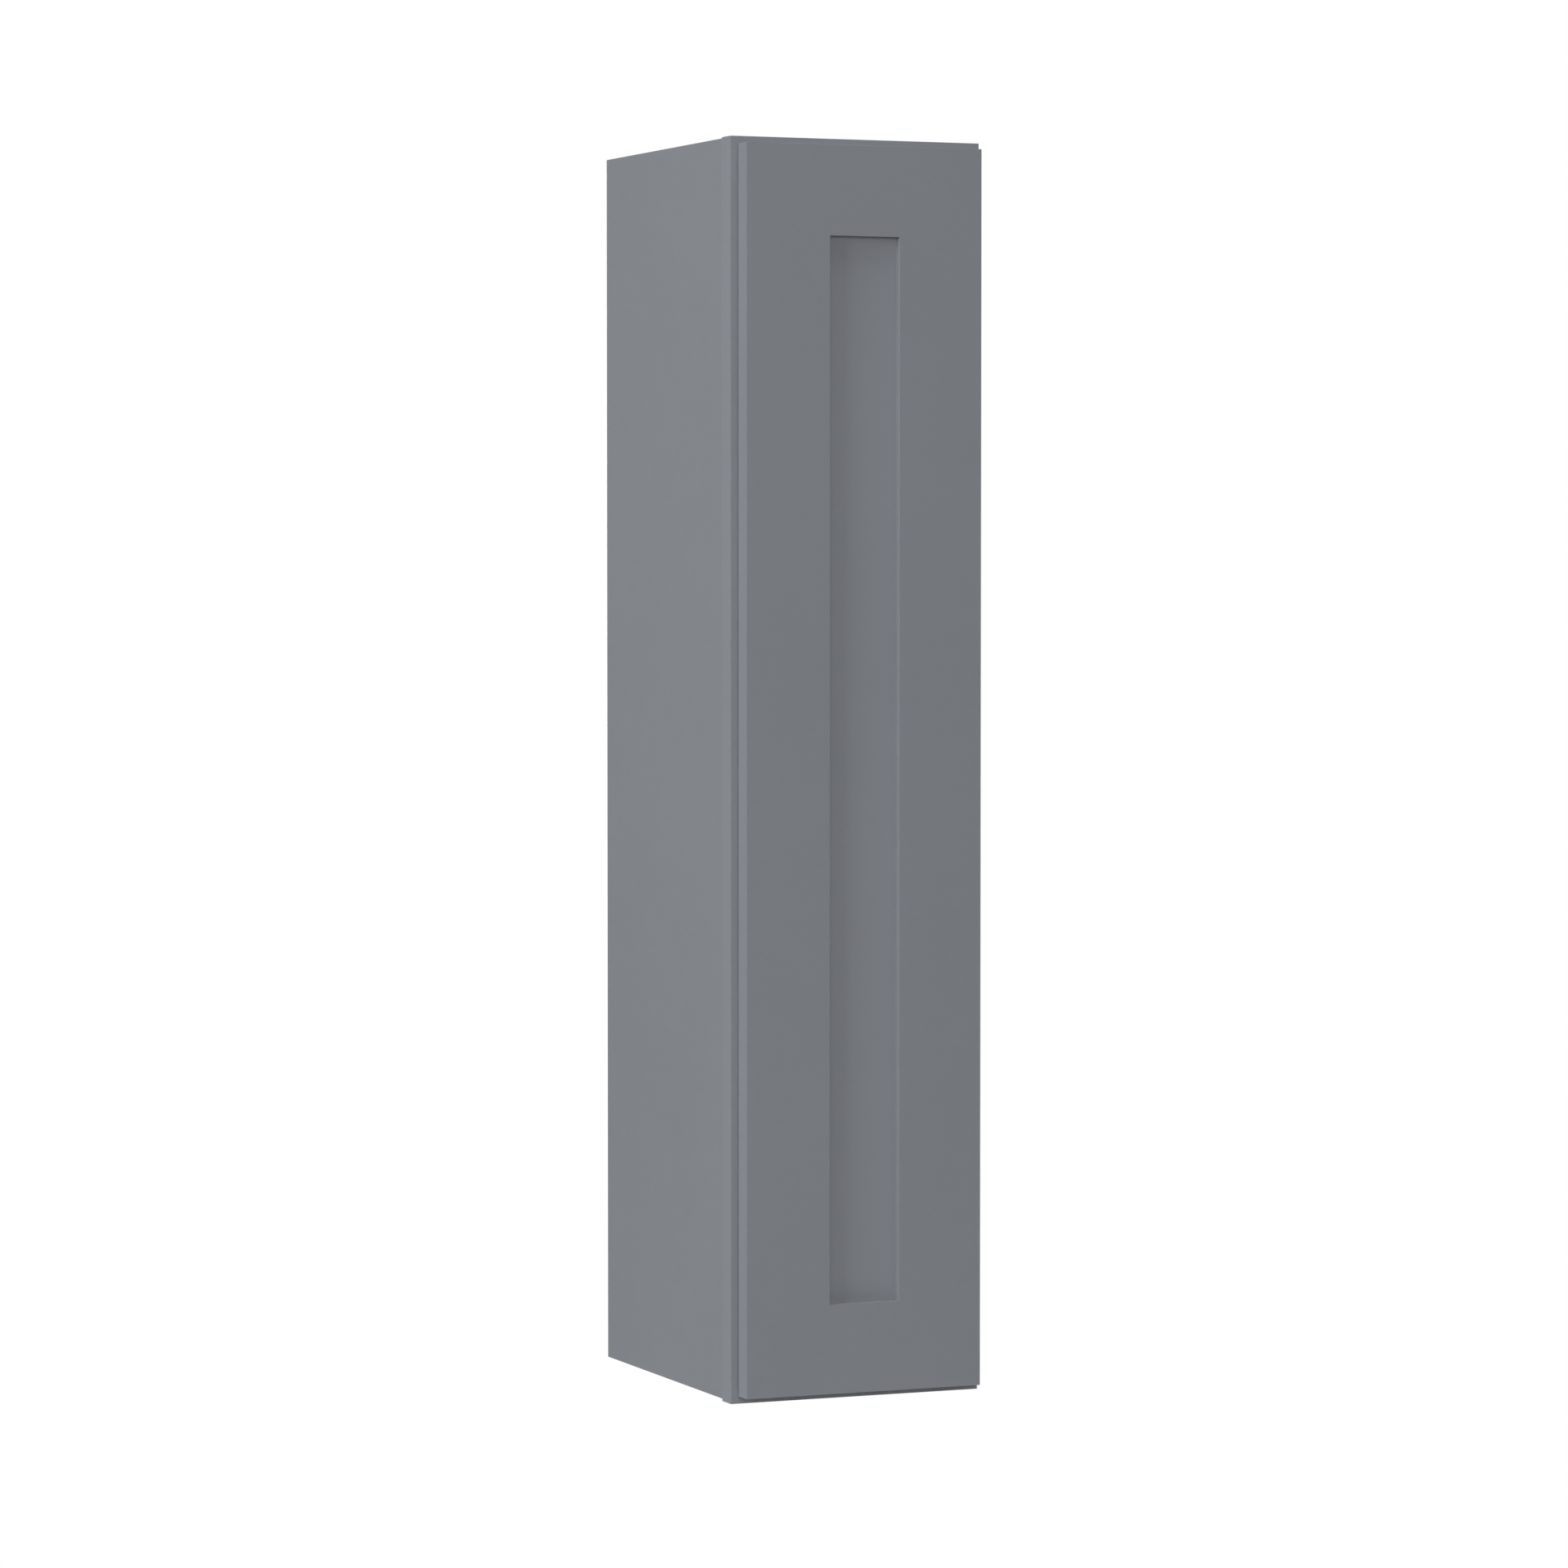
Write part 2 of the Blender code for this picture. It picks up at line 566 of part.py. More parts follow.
def hinge_arm(name, z, pivot):
    """The fixed arm: a knuckle on the pivot, a strip across the cup and a leg along the stile."""
    half = KNUCKLE_HALF_LENGTH
    places = [(PIVOT_X, PIVOT_Y, 0)]
    radii = (KNUCKLE_RADIUS, KNUCKLE_RADIUS)
    arm = rounds(f"hinge_arm_{name}", "z", z - half, z + half, radii, places, pivot, hinge_steel)
    deep = PIVOT_Y - ARM_DROP
    shallow = deep + ARM_THICKNESS
    neck_low, neck_high = (PIVOT_X - 1.5 * ARM_NECK, deep, z - half), (PIVOT_X, shallow, z + half)
    neck = block(f"add_arm_neck_{name}", neck_low, neck_high, pivot)
    z0, z1 = z - ARM_HALF_WIDTH, z + ARM_HALF_WIDTH
    strip_low, strip_high = (ARM_OUTER_X, deep, z0), (PIVOT_X - ARM_NECK, shallow, z1)
    strip = block(f"add_arm_strip_{name}", strip_low, strip_high, pivot)
    stem_top = FRAME_FRONT + PLATE_FRONT_INSET + ARM_THICKNESS
    stem = block(f"add_arm_stem_{name}", (ARM_OUTER_X, deep, z0), (ARM_INNER_X, stem_top, z1), pivot)
    leg_low = (ARM_OUTER_X, FRAME_FRONT + PLATE_FRONT_INSET, z - ARM_LEG_HALF_WIDTH)
    leg_high = (ARM_INNER_X, FRAME_FRONT + ARM_LEG_LENGTH, z + ARM_LEG_HALF_WIDTH)
    leg = block(f"add_arm_leg_{name}", leg_low, leg_high, pivot)
    fuse(arm, neck, strip, stem, leg)
    radii = (KNUCKLE_HOLE_RADIUS, KNUCKLE_HOLE_RADIUS)
    hole = rounds(f"cut_arm_pivot_{name}", "z", z - half - GAP, z + half + GAP, radii, places, pivot)
    radii = (SCREW_HOLE_RADIUS, SCREW_HOLE_RADIUS)
    start, end = ARM_OUTER_X - GAP, ARM_INNER_X + GAP
    places = hinge_screw_places(z)
    cut(arm, hole, rounds(f"cut_arm_screws_{name}", "x", start, end, radii, places, pivot, segments=12))


def hinge_screw_places(z):
    """The wood screw below and the adjusting screw above."""
    y = FRAME_FRONT + HINGE_SCREW_DEPTH
    return [(0, y, z - HINGE_SCREW_HALF_SPACING), (0, y, z + HINGE_SCREW_HALF_SPACING)]


def hinge_plate(name, z, pivot):
    """The plate between the arm and the stile, with a tab hooked behind the stile."""
    low = (PLATE_X, FRAME_FRONT + PLATE_FRONT_INSET, z - PLATE_HALF_HEIGHT)
    high = (PLATE_X + PLATE_THICKNESS, FRAME_BACK + GAP + PLATE_THICKNESS, z + PLATE_HALF_HEIGHT)
    plate = block(f"hinge_plate_{name}", low, high, pivot, hinge_steel)
    tab_low = (PLATE_X + PLATE_THICKNESS / 2, FRAME_BACK + GAP, z - PLATE_HALF_HEIGHT)
    tab_high = (PLATE_X + PLATE_TAB, FRAME_BACK + GAP + PLATE_THICKNESS, z + PLATE_HALF_HEIGHT)
    fuse(plate, block(f"add_plate_tab_{name}", tab_low, tab_high, pivot))
    radii = (SCREW_HOLE_RADIUS, SCREW_HOLE_RADIUS)
    start, end = PLATE_X - GAP, PLATE_X + PLATE_THICKNESS + GAP / 2
    places = hinge_screw_places(z)
    cut(plate, rounds(f"cut_plate_screws_{name}", "x", start, end, radii, places, pivot, segments=12))


def arm_screw(name, place, end, pivot):
    """A round-headed screw through the arm, running in +X to end."""
    head_top = ARM_OUTER_X - GAP - SCREW_HEAD_HEIGHT
    head_end = ARM_OUTER_X - GAP
    radii = (SCREW_HEAD_RADIUS * 0.75, SCREW_HEAD_RADIUS)
    screw = rounds(name, "x", head_top, head_end, radii, [place], pivot, screw_steel)
    radii = (SCREW_RADIUS, SCREW_RADIUS)
    start = head_end - SCREW_HEAD_HEIGHT / 2
    fuse(screw, rounds(f"add_{name}_shank", "x", start, end, radii, [place], pivot))


def cup_screw(name, z, pivot):
    """A countersunk screw through the cup's flange into the door."""
    place = (CUP_X - CUP_SCREW_OFFSET, 0, z)
    flange_top = DOOR_BACK + FLANGE_LIFT + FLANGE_THICKNESS
    radii = (CUP_SCREW_RADIUS, CUP_SCREW_SEAT_RADIUS - 1.5 * GAP)
    screw = rounds(name, "y", DOOR_BACK, flange_top, radii, [place], pivot, screw_steel, segments=12)
    radii = (CUP_SCREW_RADIUS, CUP_SCREW_RADIUS)
    start, end = DOOR_BACK - CUP_SCREW_LENGTH, DOOR_BACK + FLANGE_THICKNESS
    fuse(screw, rounds(f"add_{name}_shank", "y", start, end, radii, [place], pivot, segments=12))


def hinges(cabinet_pivot, door_pivot):
    for name, z in zip(HINGE_NAMES, hinge_heights()):
        hinge_cup(name, z, door_pivot)
        radii = (PIVOT_RADIUS, PIVOT_RADIUS)
        half = PIVOT_HALF_LENGTH
        places = [(PIVOT_X, PIVOT_Y, 0)]
        rounds(f"hinge_pin_{name}", "z", z - half, z + half, radii, places, door_pivot, pin_steel)
        cup_screw(f"hinge_cup_screw_low_{name}", z - CUP_SCREW_HALF_SPACING, door_pivot)
        cup_screw(f"hinge_cup_screw_high_{name}", z + CUP_SCREW_HALF_SPACING, door_pivot)
        hinge_arm(name, z, cabinet_pivot)
        hinge_plate(name, z, cabinet_pivot)
        mount_place, adjust_place = hinge_screw_places(z)
        mount_end = OPENING_HALF + SCREW_LENGTH - GAP
        arm_screw(f"hinge_mount_screw_{name}", mount_place, mount_end, cabinet_pivot)
        adjust_end = PLATE_X + PLATE_THICKNESS - GAP / 2
        arm_screw(f"hinge_adjust_screw_{name}", adjust_place, adjust_end, cabinet_pivot)


clear_scene()
parts = new_group("wall_cabinet")
cutters = new_group("cutters")
frame_paint = new_material("frame_paint", (0.200, 0.213, 0.236), 0.45)
side_paint = new_material("side_paint", (0.215, 0.228, 0.250), 0.50)
door_paint = new_material("door_paint", (0.180, 0.192, 0.213), 0.45)
plywood = new_material("plywood", (0.620, 0.470, 0.300), 0.50)
shelf_board = new_material("shelf_board", (0.640, 0.500, 0.330), 0.45)
hinge_steel = new_material("hinge_steel", (0.640, 0.630, 0.610), 0.30, 1.0)
screw_steel = new_material("screw_steel", (0.560, 0.550, 0.530), 0.35, 1.0)
pin_steel = new_material("pin_steel", (0.600, 0.600, 0.590), 0.30, 1.0)
bumper_plastic = new_material("bumper_plastic", (0.750, 0.760, 0.760), 0.35)

cabinet = new_pivot("cabinet_origin", (0.0, 0.0, 0.0))
door_axis = new_pivot("door_hinge_axis", (PIVOT_X, PIVOT_Y, DOOR_BOTTOM))
face_frame(cabinet)
case(cabinet)
shelves(cabinet)
door(door_axis)
hinges(cabinet, door_axis)
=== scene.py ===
"""The looks of the narrow wall cabinet: finished pieces, their materials, studio light and camera.

Metres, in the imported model's frame: +X to the right, +Y to the wall, +Z up, and the door faces -Y.
"""

import json
import math

import bmesh
import bpy
from mathutils import Euler, Matrix, Vector

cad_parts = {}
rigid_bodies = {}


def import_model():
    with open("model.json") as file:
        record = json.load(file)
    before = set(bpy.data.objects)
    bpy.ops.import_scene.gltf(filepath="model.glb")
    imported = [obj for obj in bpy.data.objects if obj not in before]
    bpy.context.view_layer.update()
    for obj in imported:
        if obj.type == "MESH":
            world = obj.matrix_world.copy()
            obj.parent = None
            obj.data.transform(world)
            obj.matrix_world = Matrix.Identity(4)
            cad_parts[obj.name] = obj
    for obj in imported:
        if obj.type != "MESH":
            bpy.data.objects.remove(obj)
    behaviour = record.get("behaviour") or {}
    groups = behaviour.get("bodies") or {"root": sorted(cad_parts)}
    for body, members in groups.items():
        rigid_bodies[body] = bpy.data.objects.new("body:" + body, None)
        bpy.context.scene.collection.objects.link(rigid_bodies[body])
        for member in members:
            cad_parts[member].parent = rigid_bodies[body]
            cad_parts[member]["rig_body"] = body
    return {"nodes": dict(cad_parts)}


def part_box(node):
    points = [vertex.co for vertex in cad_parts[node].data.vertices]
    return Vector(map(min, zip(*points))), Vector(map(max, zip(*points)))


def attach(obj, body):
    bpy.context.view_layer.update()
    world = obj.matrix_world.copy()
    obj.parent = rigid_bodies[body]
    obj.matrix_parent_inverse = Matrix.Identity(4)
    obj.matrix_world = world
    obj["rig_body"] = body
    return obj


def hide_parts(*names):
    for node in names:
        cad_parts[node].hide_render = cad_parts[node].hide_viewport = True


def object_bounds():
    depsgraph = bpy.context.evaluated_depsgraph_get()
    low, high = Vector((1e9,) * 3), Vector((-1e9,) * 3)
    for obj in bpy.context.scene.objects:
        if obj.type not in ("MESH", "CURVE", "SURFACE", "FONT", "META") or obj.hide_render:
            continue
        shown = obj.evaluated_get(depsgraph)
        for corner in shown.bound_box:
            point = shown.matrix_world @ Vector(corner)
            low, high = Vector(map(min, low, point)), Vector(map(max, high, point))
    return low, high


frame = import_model()
cad_low, cad_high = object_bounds()

INCH = 0.0254
TOLERANCE = 1e-6  # two lengths closer than this are equal
WELD_DISTANCE = 1e-7  # corners closer than this are joined

# Camera, from the lower front left corner of the face frame
CAMERA_FROM_CORNER = Vector((-1.7597, -4.3241, 0.7080))
CAMERA_AZIMUTH = math.radians(22.695)  # to the right of +Y
CAMERA_PITCH = math.radians(2.258)  # below the horizon
CAMERA_LENS = 127.64  # mm, on the default 36 mm sensor

# Area lights: azimuth (0 in front, -90 to the left) and elevation in degrees, and power in watts
LIGHTS = {
    "front": (-16, 11, 149),
    "left": (-78, 15, 288),
    "right": (104, 5, 165),
    "back": (172, 10, 250),
    "top": (0, 80, 190),
}
LIGHT_SIZE = 2.4
LIGHT_DISTANCE = 6.0  # from the cabinet's middle

# Room
FILL_ABOVE, FILL_BELOW = 0.18, 0.0  # strength of the fill light
FILL_EDGE = 0.2  # it changes between this far below and above the horizon
FLOOR_DROP = 54 * INCH  # a wall cabinet hangs this far above the floor
FLOOR_RADIUS = 4.0
FLOOR_SIDES = 128
FLOOR_COLOUR = (0.73, 0.73, 0.72)
FADE_START, FADE_END = 0.35 * FLOOR_RADIUS, 0.95 * FLOOR_RADIUS  # from its middle

# Colours
DOOR_COLOUR = (0.206, 0.218, 0.241)
# the panel's paint: the door's paint made a little lighter, as painted light that offsets the shade
# in the door's recess
PANEL_COLOUR_WITH_PAINTED_LIGHT = (0.2165, 0.229, 0.253)
# the face frame's paint: the door's paint made a little lighter, as painted light that offsets the
# door's shade on the frame strip beside it
FRAME_COLOUR_WITH_PAINTED_LIGHT = (0.210, 0.222, 0.243)
# the sides' paint: the door's paint made darker, as painted shade that offsets the strong light from
# the left
SIDE_COLOUR_WITH_PAINTED_SHADE = (0.199, 0.2105, 0.231)
MAPLE = (0.70, 0.53, 0.35)
MAPLE_DARK = (0.56, 0.39, 0.23)
RAW_PLY = (0.64, 0.485, 0.325)
RAW_PLY_DARK = (0.49, 0.34, 0.205)
PLY_EDGE = (0.60, 0.43, 0.26)
LONG_GRAIN = (0.66, 0.49, 0.31)
END_GRAIN = (0.42, 0.28, 0.155)
GLUE_LINE = (0.16, 0.10, 0.06)
NICKEL = (0.66, 0.64, 0.60)
ZINC = (0.60, 0.60, 0.58)
CLEAR = (0.86, 0.88, 0.88)

# Fineness of round shapes
ARC_STEPS = 6  # in each rounded corner
DOME_STEPS = 8
EASE_STEPS = 3  # across the eased edge of a board
STEEL_EASE_STEPS = 2
HOLE_SIDES = 24
PEG_SIDES = 24
SCREW_SIDES = 32
KNUCKLE_SIDES = 40
BUMPER_SIDES = 40
BORE_SIDES = 64
CUP_SIDES = 72
RIM_STEPS = 20  # round the cup's rim from the flat to a wing
HEEL_STEPS = 14  # round the rim behind the wings
FLAT_ANGLE = 0.1  # radians; faces that meet at less than this make no edge
SHARP_ANGLE = math.radians(35)

# Which way a face looks: the share of its normal along an axis
FACE_ON, MOSTLY, PARTLY = 0.9, 0.5, 0.3

# Edges and joints
EASE = 0.00025  # rounding of painted edges
BOARD_EASE = 0.0003  # rounding of sawn board edges
STEEL_EASE = 0.00018  # rounding of pressed steel
GAP = 0.0003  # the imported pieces' clearance, closed here; cutters also run this far past a face
TENON_THICKNESS = 0.25 * INCH
TENON_SHOULDER = 0.25 * INCH
TONGUE = 0.25 * INCH  # on the front edge of each side, thickness and length
TONGUE_STOP = 0.5 * INCH  # from the side's ends
HOUSING_DEPTH = 0.25 * INCH  # of the dadoes and grooves in the sides
PANEL_GROOVE = 0.375 * INCH  # depth of the door's groove
BACK_EASE = 0.0015  # the door's back corner at the hinges

# Shelf pins and their holes
SHELVES = ("lower", "middle", "upper")
PIN_HOLE_RADIUS = 0.0025
PIN_HOLE_DEPTH = 0.0090
PIN_HOLE_PITCH = 0.0320
PIN_HOLES_EACH_WAY = 2  # above and below the one in use
PIN_RADIUS = 0.0022
PIN_TIP_EASE = 0.0008
PIN_PLATE = 0.0012
PIN_BEND = 0.0010
PIN_CORNER = 0.0004
PIN_LEDGE_TOP = 0.0030  # above the peg's middle

# Door bumpers
BUMPER_STRAIGHT = 0.25  # share of the height that is straight
BUMPER_FULLNESS = 0.7  # less than 1 makes the dome fuller

# Hinges
HINGES = ("lower", "middle", "upper")
CUP_BORE_RADIUS = 0.0175
CUP_RADIUS = 0.0172
CUP_WALL = 0.0006
CUP_FLOOR = 0.0008
CUP_CLIP = 0.0001  # how far past the cup its rim is cut off straight
BOWL_ROUND, HOLLOW_ROUND = 0.0016, 0.0010  # where the cup's wall meets its floor, outside and in
CUP_SCREW_OFFSET = 0.0095
CUP_SCREW_SPREAD = 0.0225
CUP_SCREW_SHANK = 0.0014
SEAT_SMALL, SEAT_LARGE = 0.0018, 0.0036
FLANGE_RADIUS = 0.0184
FLANGE_THICKNESS = 0.0008
FLANGE_HALF_WIDTH = 0.0060
WING_ROUND = 0.95 * FLANGE_HALF_WIDTH
LIP_ROUND = 0.0004  # rounding of the cup's mouth
EAR_HOLE = 0.00118
EAR_THICKNESS = 0.0013
EAR_HALF = 0.0030
EAR_ROUND = 0.0018
KNUCKLE_RADIUS = 0.0019
KNUCKLE_HOLE = 0.00125
KNUCKLE_HALF = 0.0035
BAR_EASE = 0.0003  # rounding of the ends of the knuckle and the hinge pin
ARM_THICKNESS = 0.0015
ARM_HALF = 0.0050
ARM_NECK = 0.0052
ARM_ROUND, ARM_ROUND_INSIDE = 0.0026, 0.0011
ARM_LEG_INSET = 0.0010
LEG_ROUND_FRONT, LEG_ROUND_BACK = 0.0015, 0.0030
PLATE_THICKNESS = 0.00135
PLATE_ROUND, PLATE_ROUND_INSIDE = 0.0016, 0.0003
SCREW_SHANK = 0.0016
SCREW_HOLE = 0.0020
HEAD_HEIGHT = 0.0014
HEAD_CROWN = 0.75 * HEAD_HEIGHT
HEAD_RIM = 0.0001  # of the flat screws
CROSS_LENGTH = 0.0030
CROSS_WIDTH = 0.0006
CROSS_DEPTH = 0.0007


def middle_of(node):
    low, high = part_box(node)
    return (low + high) / 2


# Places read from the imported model
STILE_LOW, STILE_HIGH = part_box("frame_stile_left")
FRAME_HALF, OPENING_HALF = -STILE_LOW.x, -STILE_HIGH.x
FRAME_FRONT, FRAME_BACK = STILE_LOW.y, STILE_HIGH.y
FRAME_BOTTOM = STILE_LOW.z
RAIL_SPANS = {
    end: tuple(corner.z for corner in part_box(f"frame_rail_{end}")) for end in ("bottom", "top")
}
FLOOR_LEVEL, CEILING_LEVEL = RAIL_SPANS["bottom"][1], RAIL_SPANS["top"][0]
TENON_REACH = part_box("frame_rail_top")[1].x + GAP
TENON_FRONT = (FRAME_FRONT + FRAME_BACK - TENON_THICKNESS) / 2
TENON_BACK = TENON_FRONT + TENON_THICKNESS
SIDE_LOW, SIDE_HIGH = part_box("side_left")
INSIDE_HALF = -SIDE_HIGH.x
TONGUE_NEAR = (INSIDE_HALF + FRAME_HALF - TONGUE) / 2
TONGUE_FAR = TONGUE_NEAR + TONGUE
TONGUE_BOTTOM, TONGUE_TOP = SIDE_LOW.z + TONGUE_STOP, SIDE_HIGH.z - TONGUE_STOP
HOUSING_REACH = INSIDE_HALF + HOUSING_DEPTH
BACK_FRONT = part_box("back_panel")[0].y
BACK_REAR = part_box("hang_rail_upper")[0].y
DOOR_STILE_LOW, DOOR_STILE_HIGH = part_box("door_stile_left")
DOOR_HALF, PANEL_HALF = -DOOR_STILE_LOW.x, -DOOR_STILE_HIGH.x
DOOR_BACK = DOOR_STILE_HIGH.y
DOOR_BOTTOM, DOOR_TOP = DOOR_STILE_LOW.z, DOOR_STILE_HIGH.z
PANEL_LOW, PANEL_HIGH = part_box("door_panel")
PANEL_REACH = PANEL_HALF + PANEL_GROOVE
PIVOT = middle_of("hinge_pin_middle")
CUP_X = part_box("hinge_cup_middle")[1].x - CUP_RADIUS - CUP_CLIP
HINGE_LEVELS = [middle_of(f"hinge_pin_{name}").z for name in HINGES]


# ---- Meshes ----


def to_piece(name, bm):
    """Puts a finished bmesh into the scene as an object."""
    mesh = bpy.data.meshes.new(name)
    bm.to_mesh(mesh)
    bm.free()
    piece = bpy.data.objects.new(name, mesh)
    bpy.context.scene.collection.objects.link(piece)
    return piece


def near(a, b):
    return abs(a - b) < TOLERANCE


def every_edge(middle):
    """The test for a board whose edges all stay sharp."""
    return True


def along(axis):
    """An axis's number, and the turn that lays +Z on it."""
    index = "xyz".index(axis)
    direction = Vector([float(i == index) for i in range(3)])
    return index, Vector((0, 0, 1)).rotation_difference(direction).to_matrix().to_4x4()


def board(name, low, high, ease, square=None, breaks=()):
    """A box with eased edges. Edges whose middle passes the test square stay sharp; breaks are Z
    levels where a long edge may change from eased to sharp."""
    low, high = Vector(low), Vector(high)
    bm = bmesh.new()
    bmesh.ops.create_cube(bm, size=1.0)
    bmesh.ops.scale(bm, vec=high - low, verts=bm.verts)
    bmesh.ops.translate(bm, vec=(low + high) / 2, verts=bm.verts)
    for level in breaks:
        geometry = [*bm.verts, *bm.edges, *bm.faces]
        bmesh.ops.bisect_plane(bm, geom=geometry, plane_co=(0, 0, level), plane_no=(0, 0, 1))
    eased = []
    for edge in bm.edges:
        middle = (edge.verts[0].co + edge.verts[1].co) / 2
        if edge.calc_face_angle() > FLAT_ANGLE and not (square and square(middle)):
            eased.append(edge)
    bmesh.ops.bevel(
        bm, geom=eased, offset=ease, offset_type="OFFSET", segments=EASE_STEPS, profile=0.5,
        affect="EDGES", clamp_overlap=True,
    )
    return to_piece(name, bm)


def take_modifiers(piece):
    """Makes what the modifiers show the piece's own mesh."""
    graph = bpy.context.evaluated_depsgraph_get()
    mesh = bpy.data.meshes.new_from_object(piece.evaluated_get(graph))
    old = piece.data
    piece.modifiers.clear()
    piece.data = mesh
    mesh.name = piece.name
    bpy.data.meshes.remove(old)


def combine(piece, tool, operation):
    """Cuts the tool out of the piece or joins it on, and uses it up. Corners that this leaves on
    top of each other become one."""
    modifier = piece.modifiers.new("shape", "BOOLEAN")
    modifier.operation = operation
    modifier.object = tool
    piece.modifiers.new("corners", "WELD").merge_threshold = WELD_DISTANCE
    take_modifiers(piece)
    bpy.data.objects.remove(tool)


def block(low, high):
    """A sharp-edged box to cut or join with."""
    return board("tool", low, high, EASE, every_edge)


def carve(piece, low, high):
    combine(piece, block(low, high), "DIFFERENCE")


def extend(piece, low, high):
    combine(piece, block(low, high), "UNION")


def drill(piece, places, axis, radius, start, end, sides=HOLE_SIDES):
    """Round holes along one axis, from start to end, all at once."""
    index, turn = along(axis)
    bm = bmesh.new()
    for place in places:
        centre = Vector(place)
        centre[index] = (start + end) / 2
        bmesh.ops.create_cone(
            bm, cap_ends=True, segments=sides, radius1=radius, radius2=radius,
            depth=abs(end - start), matrix=Matrix.Translation(centre) @ turn,
        )
    combine(piece, to_piece("tool", bm), "DIFFERENCE")


def fillet(corners, radii):
    """A polygon or profile with its corners rounded, each by its own radius."""
    points = []
    for i, (corner, radius) in enumerate(zip(corners, radii)):
        corner = Vector(corner)
        if radius == 0.0:
            points.append(corner)
            continue
        before = (Vector(corners[i - 1]) - corner).normalized()
        after = (Vector(corners[(i + 1) % len(corners)]) - corner).normalized()
        half = before.angle(after) / 2
        centre = corner + radius / math.sin(half) * (before + after).normalized()
        start = corner + radius / math.tan(half) * before - centre
        end = corner + radius / math.tan(half) * after - centre
        first = math.atan2(start.y, start.x)
        turn = math.remainder(math.atan2(end.y, end.x) - first, 2 * math.pi)
        for step in range(ARC_STEPS + 1):
            angle = first + turn * step / ARC_STEPS
            points.append(centre + radius * Vector((math.cos(angle), math.sin(angle))))
    return points


def circle_points(radius, start, end, steps):
    """Points on a circle from one angle to another, in degrees."""
    angles = [math.radians(start + (end - start) * step / steps) for step in range(steps + 1)]
    return [Vector((radius * math.cos(angle), radius * math.sin(angle))) for angle in angles]


def slab(name, axis, outline, start, end, ease=0.0):
    """A flat outline, drawn in the other two axes, made solid from start to end along an axis."""
    index = "xyz".index(axis)
    bm = bmesh.new()
    ring = []
    for point in outline:
        place = list(point)
        place.insert(index, start)
        ring.append(bm.verts.new(place))
    face = bm.faces.new(ring)
    made = bmesh.ops.extrude_face_region(bm, geom=[face])["geom"]
    top = [item for item in made if isinstance(item, bmesh.types.BMVert)]
    shift = Vector()
    shift[index] = end - start
    bmesh.ops.translate(bm, vec=shift, verts=top)
    bmesh.ops.recalc_face_normals(bm, faces=bm.faces)
    if ease:
        rims = [e for e in bm.edges if near(e.verts[0].co[index], e.verts[1].co[index])]
        bmesh.ops.bevel(
            bm, geom=rims, offset=ease, offset_type="OFFSET", segments=STEEL_EASE_STEPS,
            profile=0.5, affect="EDGES",
        )
    return to_piece(name, bm)


def turned(name, axis, place, profile, sides):
    """A profile of (radius, height) points turned round an axis through place. It starts and ends
    on the axis."""
    bm = bmesh.new()
    angles = [2 * math.pi * step / sides for step in range(sides)]
    rings = []
    for radius, height in profile[1:-1]:
        ring = [(radius * math.cos(a), radius * math.sin(a), height) for a in angles]
        rings.append([bm.verts.new(corner) for corner in ring])
    for below, above in zip(rings, rings[1:]):
        for i in range(sides):
            bm.faces.new((below[i - 1], below[i], above[i], above[i - 1]))
    for ring, end in ((rings[0], profile[0]), (rings[-1], profile[-1])):
        tip = bm.verts.new((0.0, 0.0, end[1]))
        for i in range(sides):
            bm.faces.new((ring[i - 1], ring[i], tip))
    turn = along(axis)[1]
    bmesh.ops.transform(bm, matrix=Matrix.Translation(place) @ turn, verts=bm.verts)
    bmesh.ops.recalc_face_normals(bm, faces=bm.faces)
    return to_piece(name, bm)


def round_bar(radius, start, end, ease):
    """The profile of a round bar with eased ends."""
    start, end = sorted((start, end))
    corners = [(0.0, start), (radius, start), (radius, end), (0.0, end)]
    return fillet(corners, (0.0, ease, ease, 0.0))


def quarter_turns():
    """The angles of a dome's rings, from just after 0 to a right angle."""
    return [step / DOME_STEPS * math.pi / 2 for step in range(1, DOME_STEPS + 1)]


def round_shading(piece):
    """Shades the round faces smooth and keeps the flat ones flat."""
    piece.data.shade_smooth()
    piece.data.set_sharp_from_angle(angle=SHARP_ANGLE)
    piece.modifiers.new("normals", "WEIGHTED_NORMAL").keep_sharp = True
    take_modifiers(piece)


def settle(piece, node, slot, *materials):
    """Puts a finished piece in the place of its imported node."""
    for material in materials:
        piece.data.materials.append(material)
    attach(piece, frame["nodes"][node]["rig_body"])
    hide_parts(node)


def sort_faces(piece, choose):
    """Gives each face the material index that choose returns for its normal and centre."""
    for face in piece.data.polygons:
        face.material_index = choose(face.normal, face.center)


# ---- Node helpers ----

MIX_A, MIX_B, MIX_RESULT = 6, 7, 2  # the Mix node's sockets for colours


